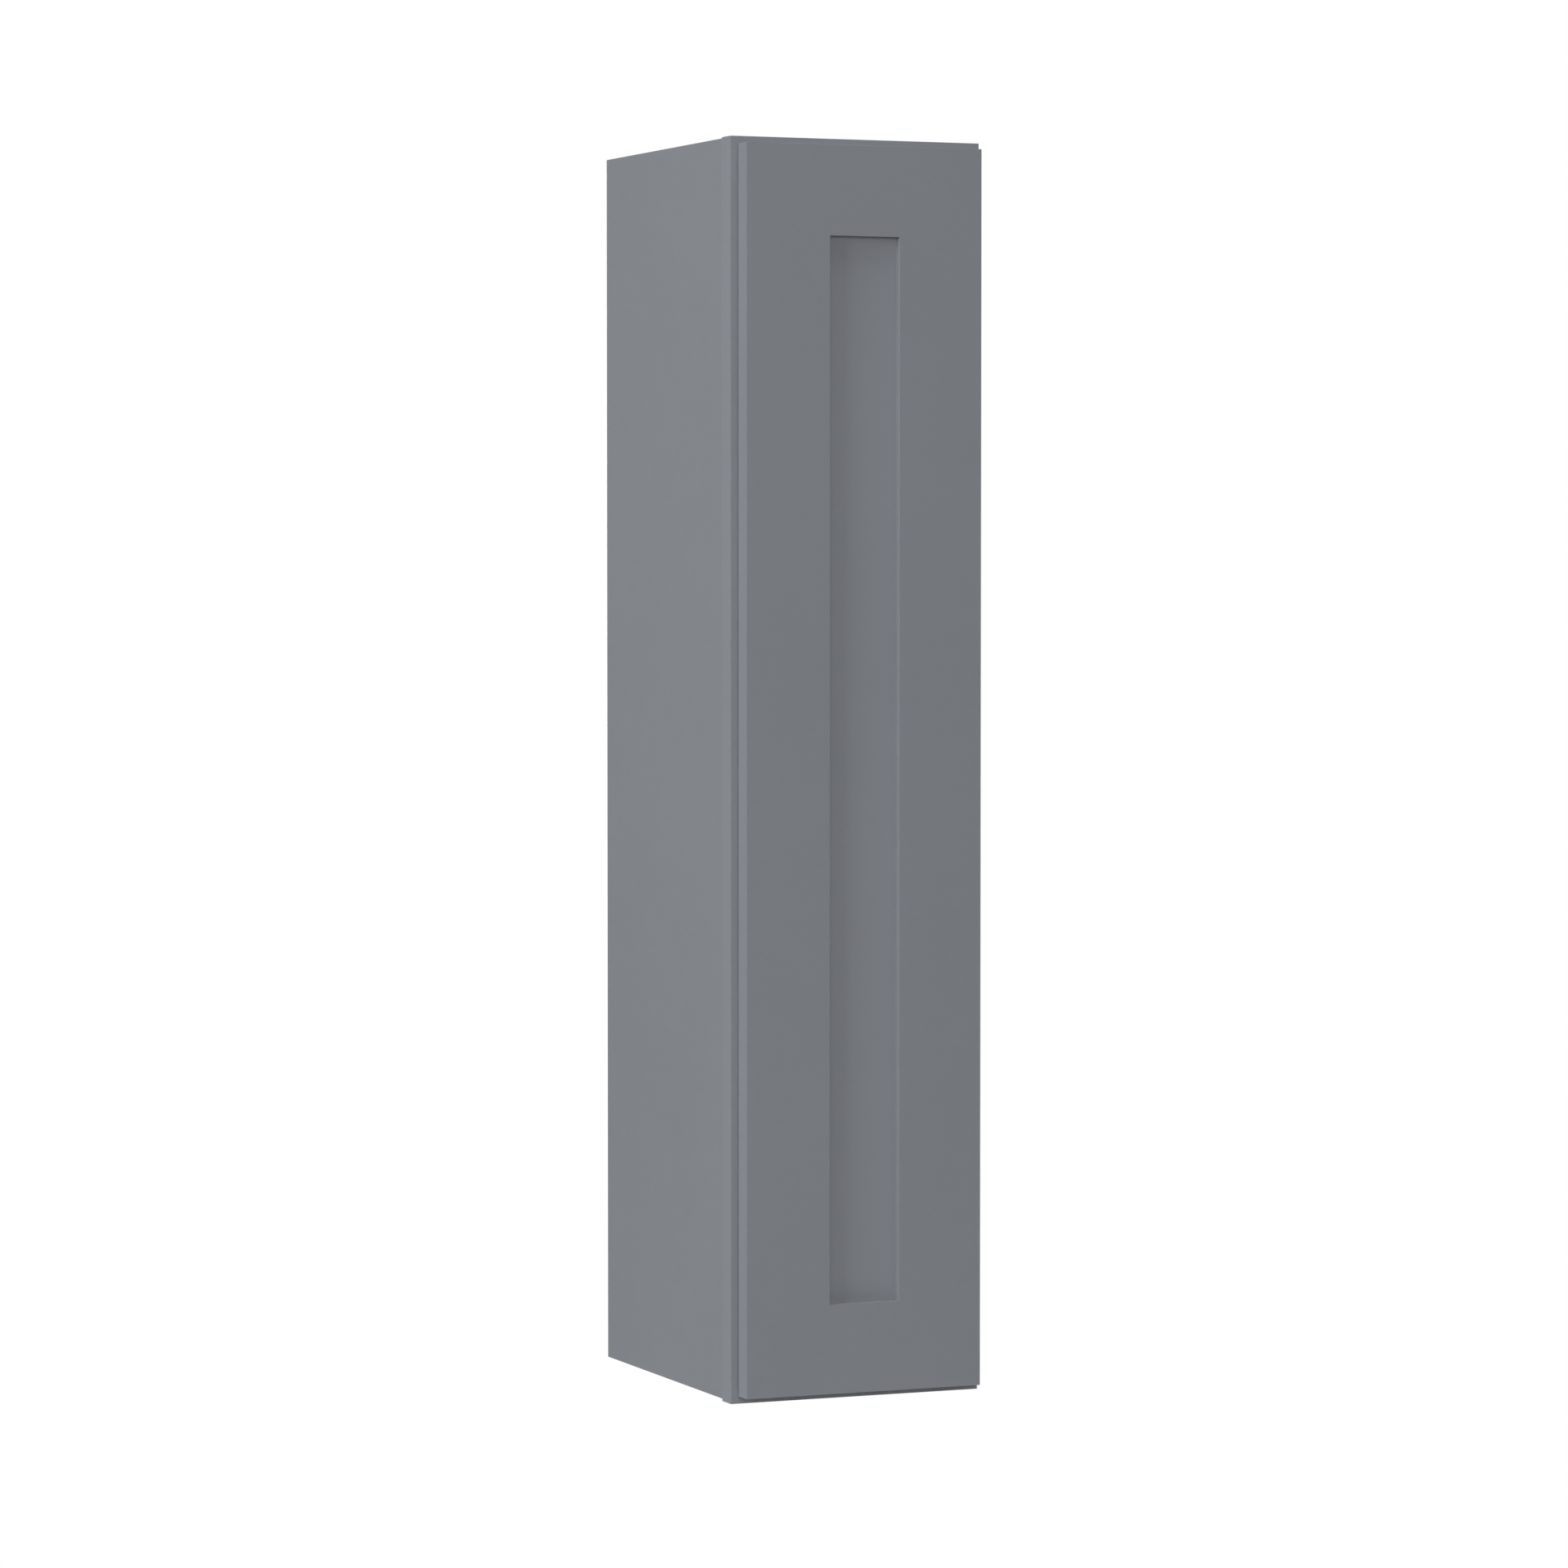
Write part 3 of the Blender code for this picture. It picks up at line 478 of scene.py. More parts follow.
class Shader:
    """A material's node tree and its Principled shader."""

    def __init__(self, name, colour, roughness, metallic=0.0):
        self.material = bpy.data.materials.new(name)
        self.material.use_nodes = True
        self.tree = self.material.node_tree
        self.principled = self.tree.nodes["Principled BSDF"]
        self.set("Base Color", (*colour, 1.0))
        self.set("Roughness", roughness)
        self.set("Metallic", metallic)
        places = self.tree.nodes.new("ShaderNodeTexCoord")
        self.coordinates = places.outputs["Object"]
        self.within = places.outputs["Generated"]  # 0 to 1 over the piece's own box

    def set(self, socket, value):
        self.principled.inputs[socket].default_value = value

    def feed(self, socket, output):
        self.tree.links.new(output, self.principled.inputs[socket])

    def node(self, kind, inputs=None, **settings):
        made = self.tree.nodes.new(kind)
        for key, value in settings.items():
            setattr(made, key, value)
        for key, value in (inputs or {}).items():
            if isinstance(value, bpy.types.NodeSocket):
                self.tree.links.new(value, made.inputs[key])
            else:
                made.inputs[key].default_value = value
        return made

    def math(self, operation, a, b=0.0):
        return self.node("ShaderNodeMath", {0: a, 1: b}, operation=operation).outputs[0]

    def add(self, a, b):
        return self.math("ADD", a, b)

    def times(self, a, b):
        return self.math("MULTIPLY", a, b)

    def stretched(self, scale):
        mapping = self.node("ShaderNodeMapping", {"Vector": self.coordinates, "Scale": scale})
        return mapping.outputs["Vector"]

    def noise(self, scale, detail=2.0, vector=None, distortion=0.0):
        inputs = {
            "Vector": vector or self.coordinates,
            "Scale": scale,
            "Detail": detail,
            "Distortion": distortion,
        }
        return self.node("ShaderNodeTexNoise", inputs).outputs["Fac"]

    def between(self, value, low, high, start=0.25, end=0.75):
        """value from start to end, mapped to low to high."""
        inputs = {
            "Value": value,
            "From Min": start,
            "From Max": end,
            "To Min": low,
            "To Max": high,
        }
        return self.node("ShaderNodeMapRange", inputs).outputs["Result"]

    def mix(self, share, a, b, blend="MIX"):
        made = self.node(
            "ShaderNodeMix", {"Factor": share}, data_type="RGBA", blend_type=blend
        )
        for index, value in ((MIX_A, a), (MIX_B, b)):
            if isinstance(value, bpy.types.NodeSocket):
                self.tree.links.new(value, made.inputs[index])
            else:
                made.inputs[index].default_value = (*value, 1.0)
        return made.outputs[MIX_RESULT]

    def scaled(self, colour, factor):
        """A colour times a number near 1."""
        grey = self.node("ShaderNodeCombineColor", {0: factor, 1: factor, 2: factor}).outputs[0]
        return self.mix(1.0, colour, grey, "MULTIPLY")

    def bump(self, height, strength, distance):
        inputs = {"Height": height, "Strength": strength, "Distance": distance}
        self.feed("Normal", self.node("ShaderNodeBump", inputs).outputs["Normal"])


# ---- Materials ----


def satin_paint(name, colour):
    """Sprayed satin paint: a faint orange peel, tiny specks and broad, very slight tone changes."""
    shader = Shader(name, colour, roughness=0.56)
    shader.set("Specular IOR Level", 0.30)
    broad = shader.between(shader.noise(6.0, detail=3.0), 0.985, 1.015)
    specks = shader.between(shader.noise(900.0), 0.975, 1.025)
    shader.feed("Base Color", shader.scaled(colour, shader.times(broad, specks)))
    patches = shader.noise(28.0, detail=4.0)
    shader.feed("Roughness", shader.between(patches, 0.52, 0.61))
    peel = shader.noise(520.0, detail=1.0)
    grit = shader.noise(1900.0, detail=1.0)
    shader.bump(shader.add(peel, shader.times(grit, 0.35)), strength=0.10, distance=0.0002)
    return shader.material


def veneer(name, light, dark, axis, roughness=0.42, figure=1.0):
    """Wood face with its grain running along an axis. A stronger figure wanders more."""
    shader = Shader(name, light, roughness)
    index = "xyz".index(axis)

    def grain(length_scale, width_scale):
        scale = tuple(length_scale if i == index else width_scale for i in range(3))
        return shader.stretched(scale)

    bands = shader.noise(1.0, 3.0, grain(1.4, 26.0), distortion=1.2 * figure)
    streaks = shader.noise(1.0, 4.0, grain(3.5, 170.0), distortion=0.4 * figure)
    ring_inputs = {
        "Vector": grain(1.1, 20.0),
        "Scale": 1.0,
        "Distortion": 7.0 * figure,
        "Detail": 2.0,
        "Detail Scale": 0.8,
    }
    rings = shader.node(
        "ShaderNodeTexWave", ring_inputs, wave_type="BANDS", bands_direction="DIAGONAL"
    ).outputs["Fac"]
    fibres = shader.noise(1.0, 3.0, grain(9.0, 620.0))
    flecks = shader.noise(1.0, 2.0, grain(60.0, 1500.0))
    tone = shader.mix(shader.between(bands, 0.0, 1.0), light, dark)
    tone = shader.mix(shader.between(rings, 0.0, 0.30 * figure, start=0.2, end=1.0), tone, dark)
    tone = shader.scaled(tone, shader.between(streaks, 0.90, 1.08))
    tone = shader.scaled(tone, shader.between(fibres, 0.90, 1.07))
    tone = shader.scaled(tone, shader.between(flecks, 0.80, 1.0, start=0.28, end=0.36))
    shader.feed("Base Color", tone)
    shader.feed("Roughness", shader.between(fibres, roughness - 0.05, roughness + 0.10))
    shader.bump(shader.add(fibres, flecks), strength=0.12, distance=0.0001)
    return shader.material


def ply_edge(name, across, plies):
    """Sawn plywood edge: plies across a piece's thickness, by turns long grain and end grain."""
    shader = Shader(name, PLY_EDGE, roughness=0.75)
    place = shader.node("ShaderNodeSeparateXYZ", {0: shader.within}).outputs["xyz".index(across)]
    wander = shader.between(shader.noise(9.0), -0.06, 0.06)
    layer = shader.add(shader.times(place, plies), wander)
    turn = shader.math("MODULO", shader.math("FLOOR", shader.add(layer, 2.0)), 2.0)
    glue = shader.math("LESS_THAN", shader.math("FRACT", layer), 0.08)
    pores = shader.noise(1300.0, detail=3.0)
    streaks = shader.noise(160.0, detail=3.0)
    long_grain = shader.scaled(LONG_GRAIN, shader.between(streaks, 0.88, 1.08))
    end_grain = shader.scaled(END_GRAIN, shader.between(pores, 0.70, 1.20))
    tone = shader.mix(turn, long_grain, end_grain)
    shader.feed("Base Color", shader.mix(shader.times(glue, 0.55), tone, GLUE_LINE))
    shader.feed("Roughness", shader.between(pores, 0.68, 0.88))
    shader.bump(shader.add(pores, shader.times(turn, 0.5)), strength=0.35, distance=0.0002)
    return shader.material


def plated_steel(name, colour, roughness):
    """Bright plated pressed steel: fine rolling lines, a few dull patches and soft dents."""
    shader = Shader(name, colour, roughness, metallic=1.0)
    lines = shader.noise(1.0, 2.0, shader.stretched((2600.0, 2600.0, 240.0)))
    patches = shader.noise(160.0, detail=3.0)
    shader.feed("Base Color", shader.scaled(colour, shader.between(patches, 0.94, 1.03)))
    spread = shader.add(
        shader.between(lines, -0.01, 0.02), shader.between(patches, -0.03, 0.05)
    )
    shader.feed("Roughness", shader.add(spread, roughness))
    dents = shader.noise(380.0, detail=1.0)
    shader.bump(shader.add(shader.times(lines, 0.2), dents), strength=0.04, distance=0.00008)
    return shader.material


def clear_rubber(name):
    """Soft clear plastic, slightly clouded."""
    shader = Shader(name, CLEAR, roughness=0.22)
    shader.set("Transmission Weight", 0.65)
    shader.set("IOR", 1.49)
    cloud = shader.noise(700.0)
    shader.feed("Roughness", shader.between(cloud, 0.18, 0.32))
    shader.feed("Base Color", shader.scaled(CLEAR, shader.between(cloud, 0.94, 1.0)))
    return shader.material


door_paint = satin_paint("door_paint", DOOR_COLOUR)
# The panel's paint carries painted light: it is the door's paint made lighter against the recess's
# shade
panel_paint_with_painted_light = satin_paint("panel_paint_with_painted_light", PANEL_COLOUR_WITH_PAINTED_LIGHT)
# The face frame's paint carries painted light: it is the door's paint made lighter against the
# door's shade on the strip
frame_paint = satin_paint("frame_paint", FRAME_COLOUR_WITH_PAINTED_LIGHT)
# The sides' paint carries painted shade: it is the door's paint made darker against the strong left
# light
side_paint = satin_paint("side_paint", SIDE_COLOUR_WITH_PAINTED_SHADE)
maple_upright = veneer("maple_upright", MAPLE, MAPLE_DARK, "z")
maple_across = veneer("maple_across", MAPLE, MAPLE_DARK, "x")
edge_band = veneer("edge_band", MAPLE, MAPLE_DARK, "x", roughness=0.38, figure=0.5)
raw_upright = veneer("raw_upright", RAW_PLY, RAW_PLY_DARK, "z", roughness=0.68, figure=1.6)
raw_across = veneer("raw_across", RAW_PLY, RAW_PLY_DARK, "x", roughness=0.68, figure=1.4)
ply_in_side = ply_edge("ply_in_side", "x", plies=7)
ply_in_deck = ply_edge("ply_in_deck", "z", plies=7)
ply_in_shelf = ply_edge("ply_in_shelf", "z", plies=11)
ply_in_back = ply_edge("ply_in_back", "y", plies=5)
ply_in_rail = ply_edge("ply_in_rail", "y", plies=7)
nickel = plated_steel("nickel", NICKEL, roughness=0.24)
zinc = plated_steel("zinc", ZINC, roughness=0.32)
rubber = clear_rubber("clear_rubber")


# ---- Face frame ----


def mirrored(sign, near_x, far_x):
    """Two X values on one side of the cabinet, lowest first."""
    return sorted((sign * near_x, sign * far_x))


def frame_stile(side, sign):
    node = f"frame_stile_{side}"
    low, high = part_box(node)
    opening = (FLOOR_LEVEL, CEILING_LEVEL)

    def hidden(middle):
        beside_opening = opening[0] < middle.z < opening[1]
        at_rail = near(abs(middle.x), OPENING_HALF) and not beside_opening
        at_side = near(abs(middle.x), FRAME_HALF) and near(middle.y, FRAME_BACK)
        return at_rail or at_side

    stile = board(f"frame_{side}_stile", low, high, EASE, hidden, opening)
    x0, x1 = mirrored(sign, OPENING_HALF - GAP, TENON_REACH)
    for z0, z1 in RAIL_SPANS.values():
        mortise_low = (x0, TENON_FRONT, z0 + TENON_SHOULDER)
        mortise_high = (x1, TENON_BACK, z1 - TENON_SHOULDER)
        carve(stile, mortise_low, mortise_high)
    x0, x1 = mirrored(sign, TONGUE_NEAR, TONGUE_FAR)
    carve(stile, (x0, FRAME_BACK - TONGUE, TONGUE_BOTTOM), (x1, FRAME_BACK + GAP, TONGUE_TOP))
    if sign > 0:
        places = [middle_of(f"hinge_mount_screw_{name}") for name in HINGES]
        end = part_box(f"hinge_mount_screw_{HINGES[0]}")[1].x + GAP
        drill(stile, places, "x", SCREW_SHANK + GAP, OPENING_HALF - GAP, end)
    settle(stile, node, "painted_frame", frame_paint)


def frame_rail(end):
    z0, z1 = RAIL_SPANS[end]
    low = (-OPENING_HALF, FRAME_FRONT, z0)
    high = (OPENING_HALF, FRAME_BACK, z1)

    def hidden(middle):
        return near(abs(middle.x), OPENING_HALF)

    rail = board(f"frame_{end}_rail", low, high, EASE, hidden)
    tenon_low = (-TENON_REACH, TENON_FRONT, z0 + TENON_SHOULDER)
    tenon_high = (TENON_REACH, TENON_BACK, z1 - TENON_SHOULDER)
    extend(rail, tenon_low, tenon_high)
    settle(rail, f"frame_rail_{end}", "painted_frame", frame_paint)


def face_frame():
    frame_stile("left", -1)
    frame_stile("right", 1)
    frame_rail("bottom")
    frame_rail("top")


# ---- Case ----


def pin_holes(side):
    """The middle of every shelf-pin hole in one side: five for each pin, one pitch apart."""
    places = []
    for shelf_name in SHELVES:
        for row in ("front", "back"):
            node = f"shelf_pin_{shelf_name}_{side}_{row}"
            used = middle_of(node)
            used.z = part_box(node)[1].z - PIN_LEDGE_TOP
            for step in range(-PIN_HOLES_EACH_WAY, PIN_HOLES_EACH_WAY + 1):
                places.append(used + Vector((0, 0, step * PIN_HOLE_PITCH)))
    return places


def side_panel(side, sign):
    x0, x1 = mirrored(sign, INSIDE_HALF, FRAME_HALF)
    low, high = (x0, FRAME_BACK, SIDE_LOW.z), (x1, 0.0, SIDE_HIGH.z)

    def hidden(middle):
        return near(middle.y, FRAME_BACK)

    panel = board(f"{side}_side", low, high, BOARD_EASE, hidden)
    x0, x1 = mirrored(sign, TONGUE_NEAR, TONGUE_FAR)
    tongue_low = (x0, FRAME_BACK - TONGUE, TONGUE_BOTTOM)
    tongue_high = (x1, FRAME_BACK + TONGUE, TONGUE_TOP)
    extend(panel, tongue_low, tongue_high)
    x0, x1 = mirrored(sign, INSIDE_HALF - GAP, HOUSING_REACH)
    for node in ("bottom_panel", "top_panel"):
        low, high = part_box(node)
        carve(panel, (x0, FRAME_BACK - GAP, low.z), (x1, BACK_REAR, high.z))
    carve(panel, (x0, BACK_FRONT, SIDE_LOW.z - GAP), (x1, BACK_REAR, SIDE_HIGH.z + GAP))
    start, end = sign * (INSIDE_HALF - GAP), sign * (INSIDE_HALF + PIN_HOLE_DEPTH)
    drill(panel, pin_holes(side), "x", PIN_HOLE_RADIUS, start, end)

    def finish_of(normal, centre):
        if normal.x * sign > PARTLY:
            return 0
        if near(abs(centre.x), INSIDE_HALF) and abs(normal.x) > FACE_ON:
            return 1
        return 2

    settle(panel, f"side_{side}", "painted_side", side_paint, maple_upright, ply_in_side)
    sort_faces(panel, finish_of)


def deck(name, node, inner_sign):
    """The case's floor or ceiling, housed in the sides. Its finished face looks inwards."""
    low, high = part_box(node)
    low = (-HOUSING_REACH, FRAME_BACK, low.z)
    high = (HOUSING_REACH, BACK_FRONT, high.z)
    panel = board(name, low, high, BOARD_EASE, every_edge)

    def finish_of(normal, centre):
        if abs(normal.z) < MOSTLY:
            return 2
        return int(normal.z * inner_sign < 0)

    settle(panel, node, "plywood", maple_across, raw_across, ply_in_deck)
    sort_faces(panel, finish_of)


def case_back():
    low = (-HOUSING_REACH, BACK_FRONT, SIDE_LOW.z)
    high = (HOUSING_REACH, BACK_REAR, SIDE_HIGH.z)

    def hidden(middle):
        return abs(middle.x) > INSIDE_HALF

    def finish_of(normal, centre):
        if abs(normal.y) < MOSTLY:
            return 2
        return int(normal.y > 0)

    back = board("case_back", low, high, BOARD_EASE, hidden)
    settle(back, "back_panel", "plywood", maple_upright, raw_upright, ply_in_back)
    sort_faces(back, finish_of)


def hang_rail(end):
    node = f"hang_rail_{end}"
    low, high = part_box(node)
    low = (-INSIDE_HALF, BACK_REAR, low.z)
    high = (INSIDE_HALF, high.y, high.z)

    def hidden(middle):
        return near(abs(middle.x), INSIDE_HALF)

    rail = board(f"{end}_hang_rail", low, high, BOARD_EASE, hidden)
    settle(rail, node, "plywood", raw_across, ply_in_rail)
    sort_faces(rail, lambda normal, centre: int(abs(normal.y) < MOSTLY))


def case():
    side_panel("left", -1)
    side_panel("right", 1)
    deck("case_floor", "bottom_panel", 1)
    deck("case_ceiling", "top_panel", -1)
    case_back()
    hang_rail("upper")
    hang_rail("lower")


# ---- Shelves ----


def shelf(name):
    node = f"shelf_{name}"
    low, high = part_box(node)
    panel = board(f"{name}_shelf", low, high, BOARD_EASE)

    def finish_of(normal, centre):
        if abs(normal.z) > FACE_ON:
            return 0
        return 1 if normal.y < -PARTLY else 2

    settle(panel, node, "shelf_board", maple_across, edge_band, ply_in_shelf)
    sort_faces(panel, finish_of)


def shelf_pin(shelf_name, side, row):
    """A pressed pin: a plate against the side, a ledge bent under the shelf and a round peg."""
    node = f"shelf_pin_{shelf_name}_{side}_{row}"
    low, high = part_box(node)
    sign = 1 if low.x > 0 else -1
    tip, end = sorted((low.x, high.x), key=abs)
    wall, face = sign * INSIDE_HALF, sign * (INSIDE_HALF - PIN_PLATE)
    top, under = high.z, high.z - PIN_PLATE
    bend = [(wall, low.z), (wall, top), (tip, top), (tip, under), (face, under), (face, low.z)]
    radii = (0.0, PIN_BEND, PIN_CORNER, PIN_CORNER, PIN_CORNER, PIN_CORNER)
    name = f"pin_{shelf_name}_{side}_{row}"
    pin = slab(name, "y", fillet(bend, radii), low.y, high.y, STEEL_EASE)
    profile = round_bar(PIN_RADIUS, wall - sign * PIN_PLATE / 2, end, PIN_TIP_EASE)
    place = (0, (low.y + high.y) / 2, top - PIN_LEDGE_TOP)
    combine(pin, turned("tool", "x", place, profile, PEG_SIDES), "UNION")
    settle(pin, node, "pin_steel", zinc)


def shelves():
    for name in SHELVES:
        shelf(name)
        for side in ("left", "right"):
            for row in ("front", "back"):
                shelf_pin(name, side, row)


# ---- Door ----


def hinge_cuts(stile):
    """The chamfer that clears the face frame, the cups' bores and the holes of their screws."""
    corner = Vector((DOOR_HALF, DOOR_BACK, (DOOR_TOP + DOOR_BOTTOM) / 2))
    half_width = BACK_EASE / math.sqrt(2)
    half = Vector((half_width, half_width, DOOR_TOP - DOOR_BOTTOM))
    chamfer = block(-half, half)
    chamfer.data.transform(Matrix.Translation(corner) @ Matrix.Rotation(math.pi / 4, 4, "Z"))
    combine(stile, chamfer, "DIFFERENCE")
    mouth = DOOR_BACK + GAP
    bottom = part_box("hinge_cup_middle")[0].y - GAP
    cups = [(CUP_X, 0, z) for z in HINGE_LEVELS]
    drill(stile, cups, "y", CUP_BORE_RADIUS, bottom, mouth, BORE_SIDES)
    screws = [f"hinge_cup_screw_{end}_{name}" for name in HINGES for end in ("low", "high")]
    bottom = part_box(screws[0])[0].y - GAP
    drill(stile, [middle_of(node) for node in screws], "y", SCREW_SHANK, bottom, mouth)


def door_stile(side, sign):
    node = f"door_stile_{side}"
    low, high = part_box(node)
    recess = (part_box("door_rail_bottom")[1].z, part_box("door_rail_top")[0].z)

    def hidden(middle):
        return near(abs(middle.x), PANEL_HALF) and not recess[0] < middle.z < recess[1]

    stile = board(f"door_{side}_stile", low, high, EASE, hidden, recess)
    x0, x1 = mirrored(sign, PANEL_HALF - GAP, PANEL_REACH)
    carve(stile, (x0, PANEL_LOW.y, low.z - GAP), (x1, PANEL_HIGH.y, high.z + GAP))
    if sign > 0:
        hinge_cuts(stile)
    settle(stile, node, "painted_door", door_paint)


def door_rail(end, toward):
    """A rail with tongues in the stiles' grooves. Toward is the way to the panel, up or down."""
    node = f"door_rail_{end}"
    low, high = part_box(node)

    def hidden(middle):
        return near(abs(middle.x), PANEL_HALF)

    rail_low, rail_high = (-PANEL_HALF, low.y, low.z), (PANEL_HALF, high.y, high.z)
    rail = board(f"door_{end}_rail", rail_low, rail_high, EASE, hidden)
    tongue_low = (-PANEL_REACH, PANEL_LOW.y, low.z)
    tongue_high = (PANEL_REACH, PANEL_HIGH.y, high.z)
    extend(rail, tongue_low, tongue_high)
    if toward > 0:
        z0, z1 = PANEL_LOW.z - GAP, high.z + GAP
    else:
        z0, z1 = low.z - GAP, PANEL_HIGH.z + GAP
    groove_low = (-PANEL_REACH - GAP, PANEL_LOW.y, z0)
    groove_high = (PANEL_REACH + GAP, PANEL_HIGH.y, z1)
    carve(rail, groove_low, groove_high)
    settle(rail, node, "painted_door", door_paint)


def flat_panel():
    low = (-PANEL_REACH, PANEL_LOW.y, PANEL_LOW.z)
    high = (PANEL_REACH, PANEL_HIGH.y, PANEL_HIGH.z)
    panel = board("door_flat_panel", low, high, BOARD_EASE)
    settle(panel, "door_panel", "painted_door", panel_paint_with_painted_light)


def bumper(name):
    """A clear domed bumper stuck on the door's back corner."""
    node = f"door_bumper_{name}"
    low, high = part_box(node)
    middle = middle_of(node)
    radius = (high.x - low.x) / 2
    height = high.y - DOOR_BACK
    profile = [(0.0, 0.0), (radius, 0.0), (radius, BUMPER_STRAIGHT * height)]
    for turn in quarter_turns():
        rise = BUMPER_STRAIGHT + (1 - BUMPER_STRAIGHT) * math.sin(turn)
        profile.append((radius * math.cos(turn) ** BUMPER_FULLNESS, height * rise))
    profile[-1] = (0.0, height)
    place = (middle.x, DOOR_BACK, middle.z)
    piece = turned(f"{name}_bumper", "y", place, profile, BUMPER_SIDES)
    round_shading(piece)
    settle(piece, node, "bumper_plastic", rubber)


def door():
    door_stile("left", -1)
    door_stile("right", 1)
    door_rail("bottom", 1)
    door_rail("top", -1)
    flat_panel()
    bumper("lower")
    bumper("upper")


# ---- Hinges ----


def flange_outline(z, half_length):
    """The rim's circle, cut straight at the frame, with a round-ended wing above and below."""
    near_edge = FLANGE_HALF_WIDTH - CUP_SCREW_OFFSET
    far_edge = -FLANGE_HALF_WIDTH - CUP_SCREW_OFFSET
    clip, near_meet, far_meet = (
        math.degrees(math.acos(edge / FLANGE_RADIUS))
        for edge in (CUP_RADIUS + CUP_CLIP, near_edge, far_edge)
    )
    right = circle_points(FLANGE_RADIUS, clip, near_meet, RIM_STEPS)
    left = circle_points(FLANGE_RADIUS, far_meet, 360 - far_meet, HEEL_STEPS)
    near_tip, far_tip = Vector((near_edge, half_length)), Vector((far_edge, half_length))
    wing = fillet([right[-1], near_tip, far_tip, left[0]], (0.0, WING_ROUND, WING_ROUND, 0.0))
    outline = right[:-1] + wing[:-1] + left[:-1]
    for upper in (wing[:0:-1], right[::-1]):
        outline += [Vector((x, -height)) for x, height in upper]
    return [(CUP_X + x, z + height) for x, height in outline]


def cup_ear(cup, z, sign, bottom):
    """Joins on one of the two ears that hold the pivot, above or below the arm's knuckle."""
    inside = KNUCKLE_HALF + GAP
    outside = inside + EAR_THICKNESS
    reach = CUP_X + math.sqrt((CUP_RADIUS - CUP_WALL / 3) ** 2 - outside**2)  # in the cup's wall
    x0, y0, y1 = PIVOT.x - EAR_HALF, bottom + CUP_FLOOR / 2, PIVOT.y + KNUCKLE_RADIUS
    outline = fillet([(x0, y0), (reach, y0), (reach, y1), (x0, y1)], (0.0, 0.0, 0.0, EAR_ROUND))
    start, end = sorted((z + sign * inside, z + sign * outside))
    combine(cup, slab("tool", "z", outline, start, end), "UNION")


def hinge_cup(name, z):
    """A pressed cup with a rolled rim, rounded screw wings and two ears that hold the pivot."""
    node = f"hinge_cup_{name}"
    low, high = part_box(node)
    bottom, rim = low.y, high.y
    flange = rim - FLANGE_THICKNESS
    centre = (CUP_X, 0, z)
    cup = slab(f"{name}_hinge_cup", "y", flange_outline(z, high.z - z), flange, rim, STEEL_EASE)

    bowl = [(0.0, bottom), (CUP_RADIUS, bottom), (CUP_RADIUS, rim - GAP), (0.0, rim - GAP)]
    bowl = fillet(bowl, (0.0, BOWL_ROUND, 0.0, 0.0))
    combine(cup, turned("tool", "y", centre, bowl, CUP_SIDES), "UNION")

    inner, floor, lip = CUP_RADIUS - CUP_WALL, bottom + CUP_FLOOR, rim - LIP_ROUND
    hollow = fillet([(0.0, floor), (inner, floor), (inner, lip)], (0.0, HOLLOW_ROUND, 0.0))
    for x, height in circle_points(LIP_ROUND, 180, 90, ARC_STEPS)[1:]:
        hollow.append((inner + LIP_ROUND + x, lip + height))
    hollow += [(inner + LIP_ROUND, rim + GAP), (0.0, rim + GAP)]
    combine(cup, turned("tool", "y", centre, hollow, CUP_SIDES), "DIFFERENCE")

    deep, shallow = flange - GAP, rim + GAP
    seat = [(0.0, deep), (SEAT_SMALL, deep), (SEAT_LARGE, shallow), (0.0, shallow)]
    for offset in (-CUP_SCREW_SPREAD, CUP_SCREW_SPREAD):
        place = (CUP_X - CUP_SCREW_OFFSET, 0, z + offset)
        combine(cup, turned("tool", "y", place, seat, SCREW_SIDES), "DIFFERENCE")

    for sign in (-1, 1):
        cup_ear(cup, z, sign, bottom)
    pivot = (PIVOT.x, PIVOT.y, z)
    drill(cup, [pivot], "z", EAR_HOLE, z - EAR_HALF * 2, z + EAR_HALF * 2)
    round_shading(cup)
    settle(cup, node, "hinge_steel", nickel)


def arm_screw_places(name):
    return [middle_of(f"hinge_{kind}_screw_{name}") for kind in ("mount", "adjust")]


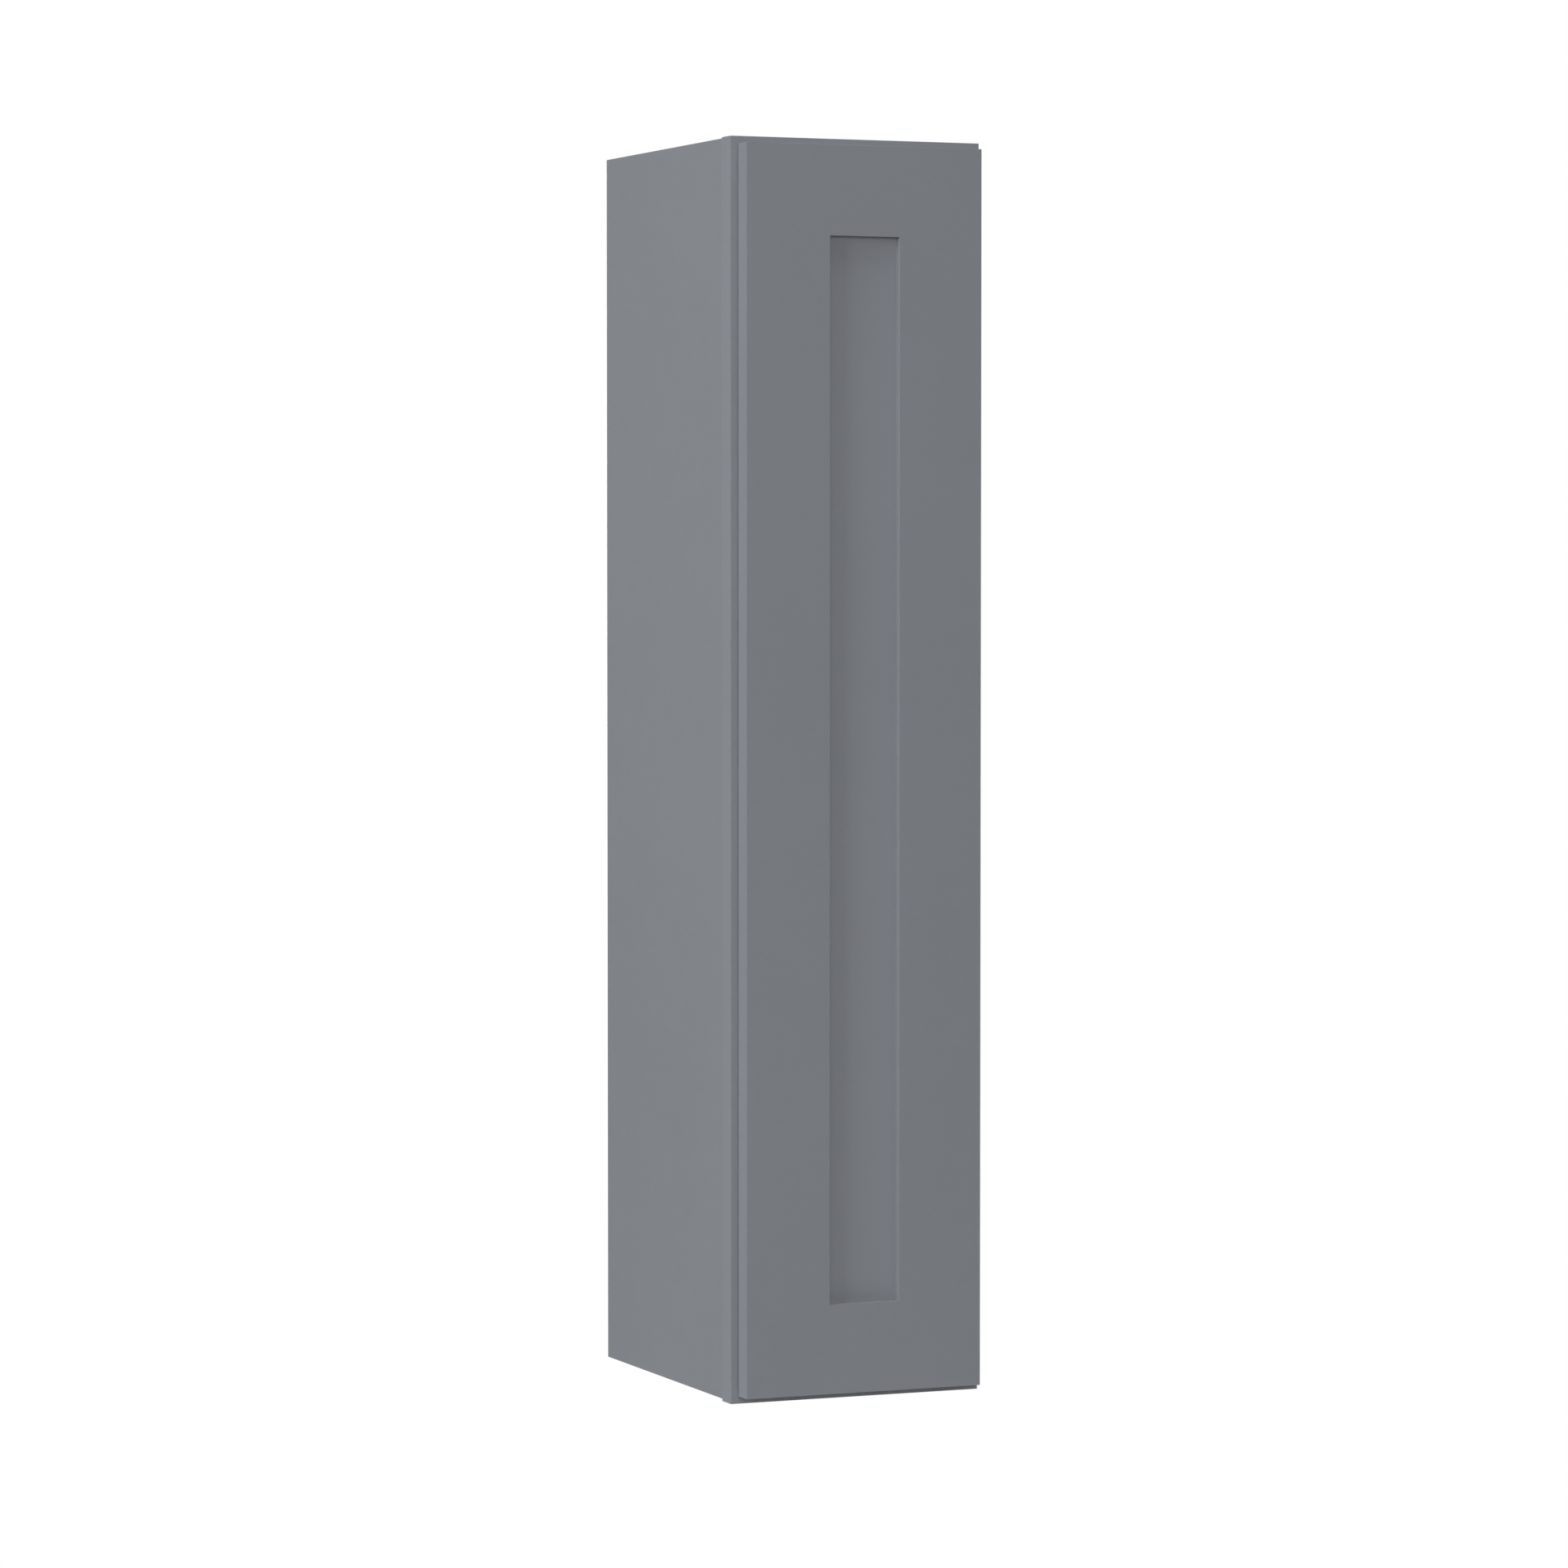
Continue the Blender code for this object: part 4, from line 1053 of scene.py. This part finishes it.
def hinge_arm(name, z):
    """The fixed arm: a knuckle round the pivot and a strip bent down to the stile's edge."""
    node = f"hinge_arm_{name}"
    low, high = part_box(node)
    outer, inner = low.x, low.x + ARM_THICKNESS
    deep, shallow = low.y, low.y + ARM_THICKNESS
    leg_front = FRAME_FRONT + ARM_LEG_INSET
    stem_end = leg_front + 2 * ARM_THICKNESS
    neck_x = PIVOT.x - ARM_NECK
    bend = [
        (neck_x, deep), (outer, deep), (outer, stem_end),
        (inner, stem_end), (inner, shallow), (neck_x, shallow),
    ]
    bend = fillet(bend, (0.0, ARM_ROUND, 0.0, 0.0, ARM_ROUND_INSIDE, 0.0))
    arm = slab(f"{name}_hinge_arm", "z", bend, z - ARM_HALF, z + ARM_HALF, STEEL_EASE)

    leg = [(leg_front, low.z), (high.y, low.z), (high.y, high.z), (leg_front, high.z)]
    leg = fillet(leg, (LEG_ROUND_FRONT, LEG_ROUND_BACK, LEG_ROUND_BACK, LEG_ROUND_FRONT))
    combine(arm, slab("tool", "x", leg, outer, inner, STEEL_EASE), "UNION")

    bottom, top = z - KNUCKLE_HALF, z + KNUCKLE_HALF
    root = PIVOT.x - 1.5 * ARM_NECK  # well inside the strip
    neck = [(root, bottom), (PIVOT.x, bottom), (PIVOT.x, top), (root, top)]
    combine(arm, slab("tool", "y", neck, deep, shallow), "UNION")

    pivot = (PIVOT.x, PIVOT.y, z)
    profile = round_bar(KNUCKLE_RADIUS, -KNUCKLE_HALF, KNUCKLE_HALF, BAR_EASE)
    combine(arm, turned("tool", "z", pivot, profile, KNUCKLE_SIDES), "UNION")
    drill(arm, [pivot], "z", KNUCKLE_HOLE, z - 2 * KNUCKLE_HALF, z + 2 * KNUCKLE_HALF)
    drill(arm, arm_screw_places(name), "x", SCREW_HOLE, outer - GAP, inner + GAP)
    round_shading(arm)
    settle(arm, node, "hinge_steel", nickel)


def hinge_plate(name):
    """The plate on the stile's edge, its tab bent round behind the stile."""
    node = f"hinge_plate_{name}"
    low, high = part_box(node)
    behind = high.y - PLATE_THICKNESS
    face = low.x + PLATE_THICKNESS
    bend = [
        (low.x, low.y), (face, low.y), (face, behind),
        (high.x, behind), (high.x, high.y), (low.x, high.y),
    ]
    bend = fillet(bend, (0.0, 0.0, PLATE_ROUND_INSIDE, 0.0, 0.0, PLATE_ROUND))
    plate = slab(f"{name}_hinge_plate", "z", bend, low.z, high.z, STEEL_EASE)
    drill(plate, arm_screw_places(name), "x", SCREW_HOLE, low.x - GAP, face + GAP)
    round_shading(plate)
    settle(plate, node, "hinge_steel", nickel)


def cross_recess(screw, axis, centre, direction):
    """Sinks a cross for a driver into a screw's head; direction points into the screw."""
    index = "xyz".index(axis)
    ends = (centre[index] - direction * GAP, centre[index] + direction * CROSS_DEPTH)
    for long_axis in range(3):
        if long_axis == index:
            continue
        low, high = Vector(centre), Vector(centre)
        for i in range(3):
            half = CROSS_LENGTH / 2 if i == long_axis else CROSS_WIDTH / 2
            low[i] -= half
            high[i] += half
        low[index], high[index] = sorted(ends)
        carve(screw, low, high)


def arm_screw(kind, name):
    """A pan-headed screw through the arm. The mounting screw is pointed, the other one flat."""
    node = f"hinge_{kind}_screw_{name}"
    low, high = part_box(node)
    centre = middle_of(node)
    radius = (high.y - low.y) / 2
    start, end = low.x, high.x
    profile = [(0.0, start)]
    for turn in quarter_turns():
        profile.append((radius * math.sin(turn), start + HEAD_CROWN * (1 - math.cos(turn))))
    shank_end = end if kind == "adjust" else end - 2 * SCREW_SHANK
    profile += [
        (radius, start + HEAD_HEIGHT), (SCREW_SHANK, start + HEAD_HEIGHT),
        (SCREW_SHANK, shank_end), (0.0, end),
    ]
    place = (0, centre.y, centre.z)
    screw = turned(f"{name}_{kind}_screw", "x", place, profile, SCREW_SIDES)
    cross_recess(screw, "x", Vector((start, centre.y, centre.z)), 1)
    round_shading(screw)
    settle(screw, node, "screw_steel", zinc)


def cup_screw(end, name):
    """A flat-headed screw, sunk in a seat of the cup's flange."""
    node = f"hinge_cup_screw_{end}_{name}"
    low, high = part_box(node)
    centre = middle_of(node)
    radius = (high.x - low.x) / 2
    profile = [
        (0.0, low.y), (CUP_SCREW_SHANK, low.y + 2 * CUP_SCREW_SHANK),
        (CUP_SCREW_SHANK, high.y - FLANGE_THICKNESS), (radius, high.y - HEAD_RIM),
        (radius - HEAD_RIM, high.y), (0.0, high.y),
    ]
    place = (centre.x, 0, centre.z)
    screw = turned(f"{name}_cup_screw_{end}", "y", place, profile, SCREW_SIDES)
    cross_recess(screw, "y", Vector((centre.x, high.y, centre.z)), -1)
    round_shading(screw)
    settle(screw, node, "screw_steel", zinc)


def pivot_pin(name):
    node = f"hinge_pin_{name}"
    low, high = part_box(node)
    profile = round_bar((high.x - low.x) / 2, low.z, high.z, BAR_EASE)
    pin = turned(f"{name}_hinge_pin", "z", (PIVOT.x, PIVOT.y, 0), profile, PEG_SIDES)
    round_shading(pin)
    settle(pin, node, "pin_steel", zinc)


def hinges():
    for name, z in zip(HINGES, HINGE_LEVELS):
        hinge_cup(name, z)
        hinge_arm(name, z)
        hinge_plate(name)
        pivot_pin(name)
        for end in ("low", "high"):
            cup_screw(end, name)
        for kind in ("mount", "adjust"):
            arm_screw(kind, name)


# ---- Light, camera and floor ----


def white_room():
    """White to the camera, and a weaker fill light from above for everything else."""
    world = bpy.data.worlds.new("white_room")
    bpy.context.scene.world = world
    world.use_nodes = True
    tree = world.node_tree
    fill = tree.nodes["Background"]
    place = tree.nodes.new("ShaderNodeTexCoord")
    parts = tree.nodes.new("ShaderNodeSeparateXYZ")
    tree.links.new(place.outputs["Generated"], parts.inputs[0])
    ramp = tree.nodes.new("ShaderNodeMapRange")
    limits = {
        "From Min": -FILL_EDGE,
        "From Max": FILL_EDGE,
        "To Min": FILL_BELOW,
        "To Max": FILL_ABOVE,
    }
    for key, value in limits.items():
        ramp.inputs[key].default_value = value
    tree.links.new(parts.outputs["Z"], ramp.inputs["Value"])
    tree.links.new(ramp.outputs["Result"], fill.inputs["Color"])
    white = tree.nodes.new("ShaderNodeBackground")
    white.inputs["Color"].default_value = (1.0, 1.0, 1.0, 1.0)
    path = tree.nodes.new("ShaderNodeLightPath")
    choice = tree.nodes.new("ShaderNodeMixShader")
    tree.links.new(path.outputs["Is Camera Ray"], choice.inputs[0])
    tree.links.new(fill.outputs[0], choice.inputs[1])
    tree.links.new(white.outputs[0], choice.inputs[2])
    tree.links.new(choice.outputs[0], tree.nodes["World Output"].inputs["Surface"])


def pale_floor():
    """A round floor that fades into the white room, and that can be seen through from below."""
    bm = bmesh.new()
    bmesh.ops.create_circle(bm, cap_ends=True, segments=FLOOR_SIDES, radius=FLOOR_RADIUS)
    floor = to_piece("studio_floor", bm)
    floor.location = (0.0, (cad_low.y + cad_high.y) / 2, cad_low.z - FLOOR_DROP)
    shader = Shader("pale_floor", FLOOR_COLOUR, roughness=0.6)
    mottle = shader.between(shader.noise(3.0), 0.98, 1.0)
    shader.feed("Base Color", shader.scaled(FLOOR_COLOUR, mottle))
    ray = shader.node("ShaderNodeVectorMath", {0: shader.coordinates}, operation="LENGTH")
    fade = shader.between(ray.outputs["Value"], 0.0, 1.0, start=FADE_START, end=FADE_END)
    under = shader.node("ShaderNodeNewGeometry").outputs["Backfacing"]
    clear = shader.math("MAXIMUM", fade, under)
    through = shader.node("ShaderNodeBsdfTransparent").outputs[0]
    surfaces = {0: clear, 1: shader.principled.outputs[0], 2: through}
    both = shader.node("ShaderNodeMixShader", surfaces).outputs[0]
    shader.tree.links.new(both, shader.tree.nodes["Material Output"].inputs["Surface"])
    floor.data.materials.append(shader.material)


def softbox(name, azimuth, elevation, power):
    """A square area light facing the cabinet's middle."""
    a, e = math.radians(azimuth), math.radians(elevation)
    away = Vector((math.sin(a) * math.cos(e), -math.cos(a) * math.cos(e), math.sin(e)))
    light = bpy.data.lights.new(name, "AREA")
    light.size = LIGHT_SIZE
    light.energy = power
    lamp = bpy.data.objects.new(name, light)
    lamp.visible_camera = False
    bpy.context.scene.collection.objects.link(lamp)
    lamp.location = (cad_low + cad_high) / 2 + LIGHT_DISTANCE * away
    lamp.rotation_euler = (-away).to_track_quat("-Z", "Y").to_euler()


def camera():
    data = bpy.data.cameras.new("camera")
    data.lens = CAMERA_LENS
    view = bpy.data.objects.new("camera", data)
    bpy.context.scene.collection.objects.link(view)
    view.location = Vector((-FRAME_HALF, FRAME_FRONT, FRAME_BOTTOM)) + CAMERA_FROM_CORNER
    view.rotation_euler = Euler((math.pi / 2 - CAMERA_PITCH, 0.0, -CAMERA_AZIMUTH))
    bpy.context.scene.camera = view


face_frame()
case()
shelves()
door()
hinges()
white_room()
pale_floor()
for light_name, settings in LIGHTS.items():
    softbox(light_name, *settings)
camera()
bpy.context.scene.view_settings.view_transform = "Standard"
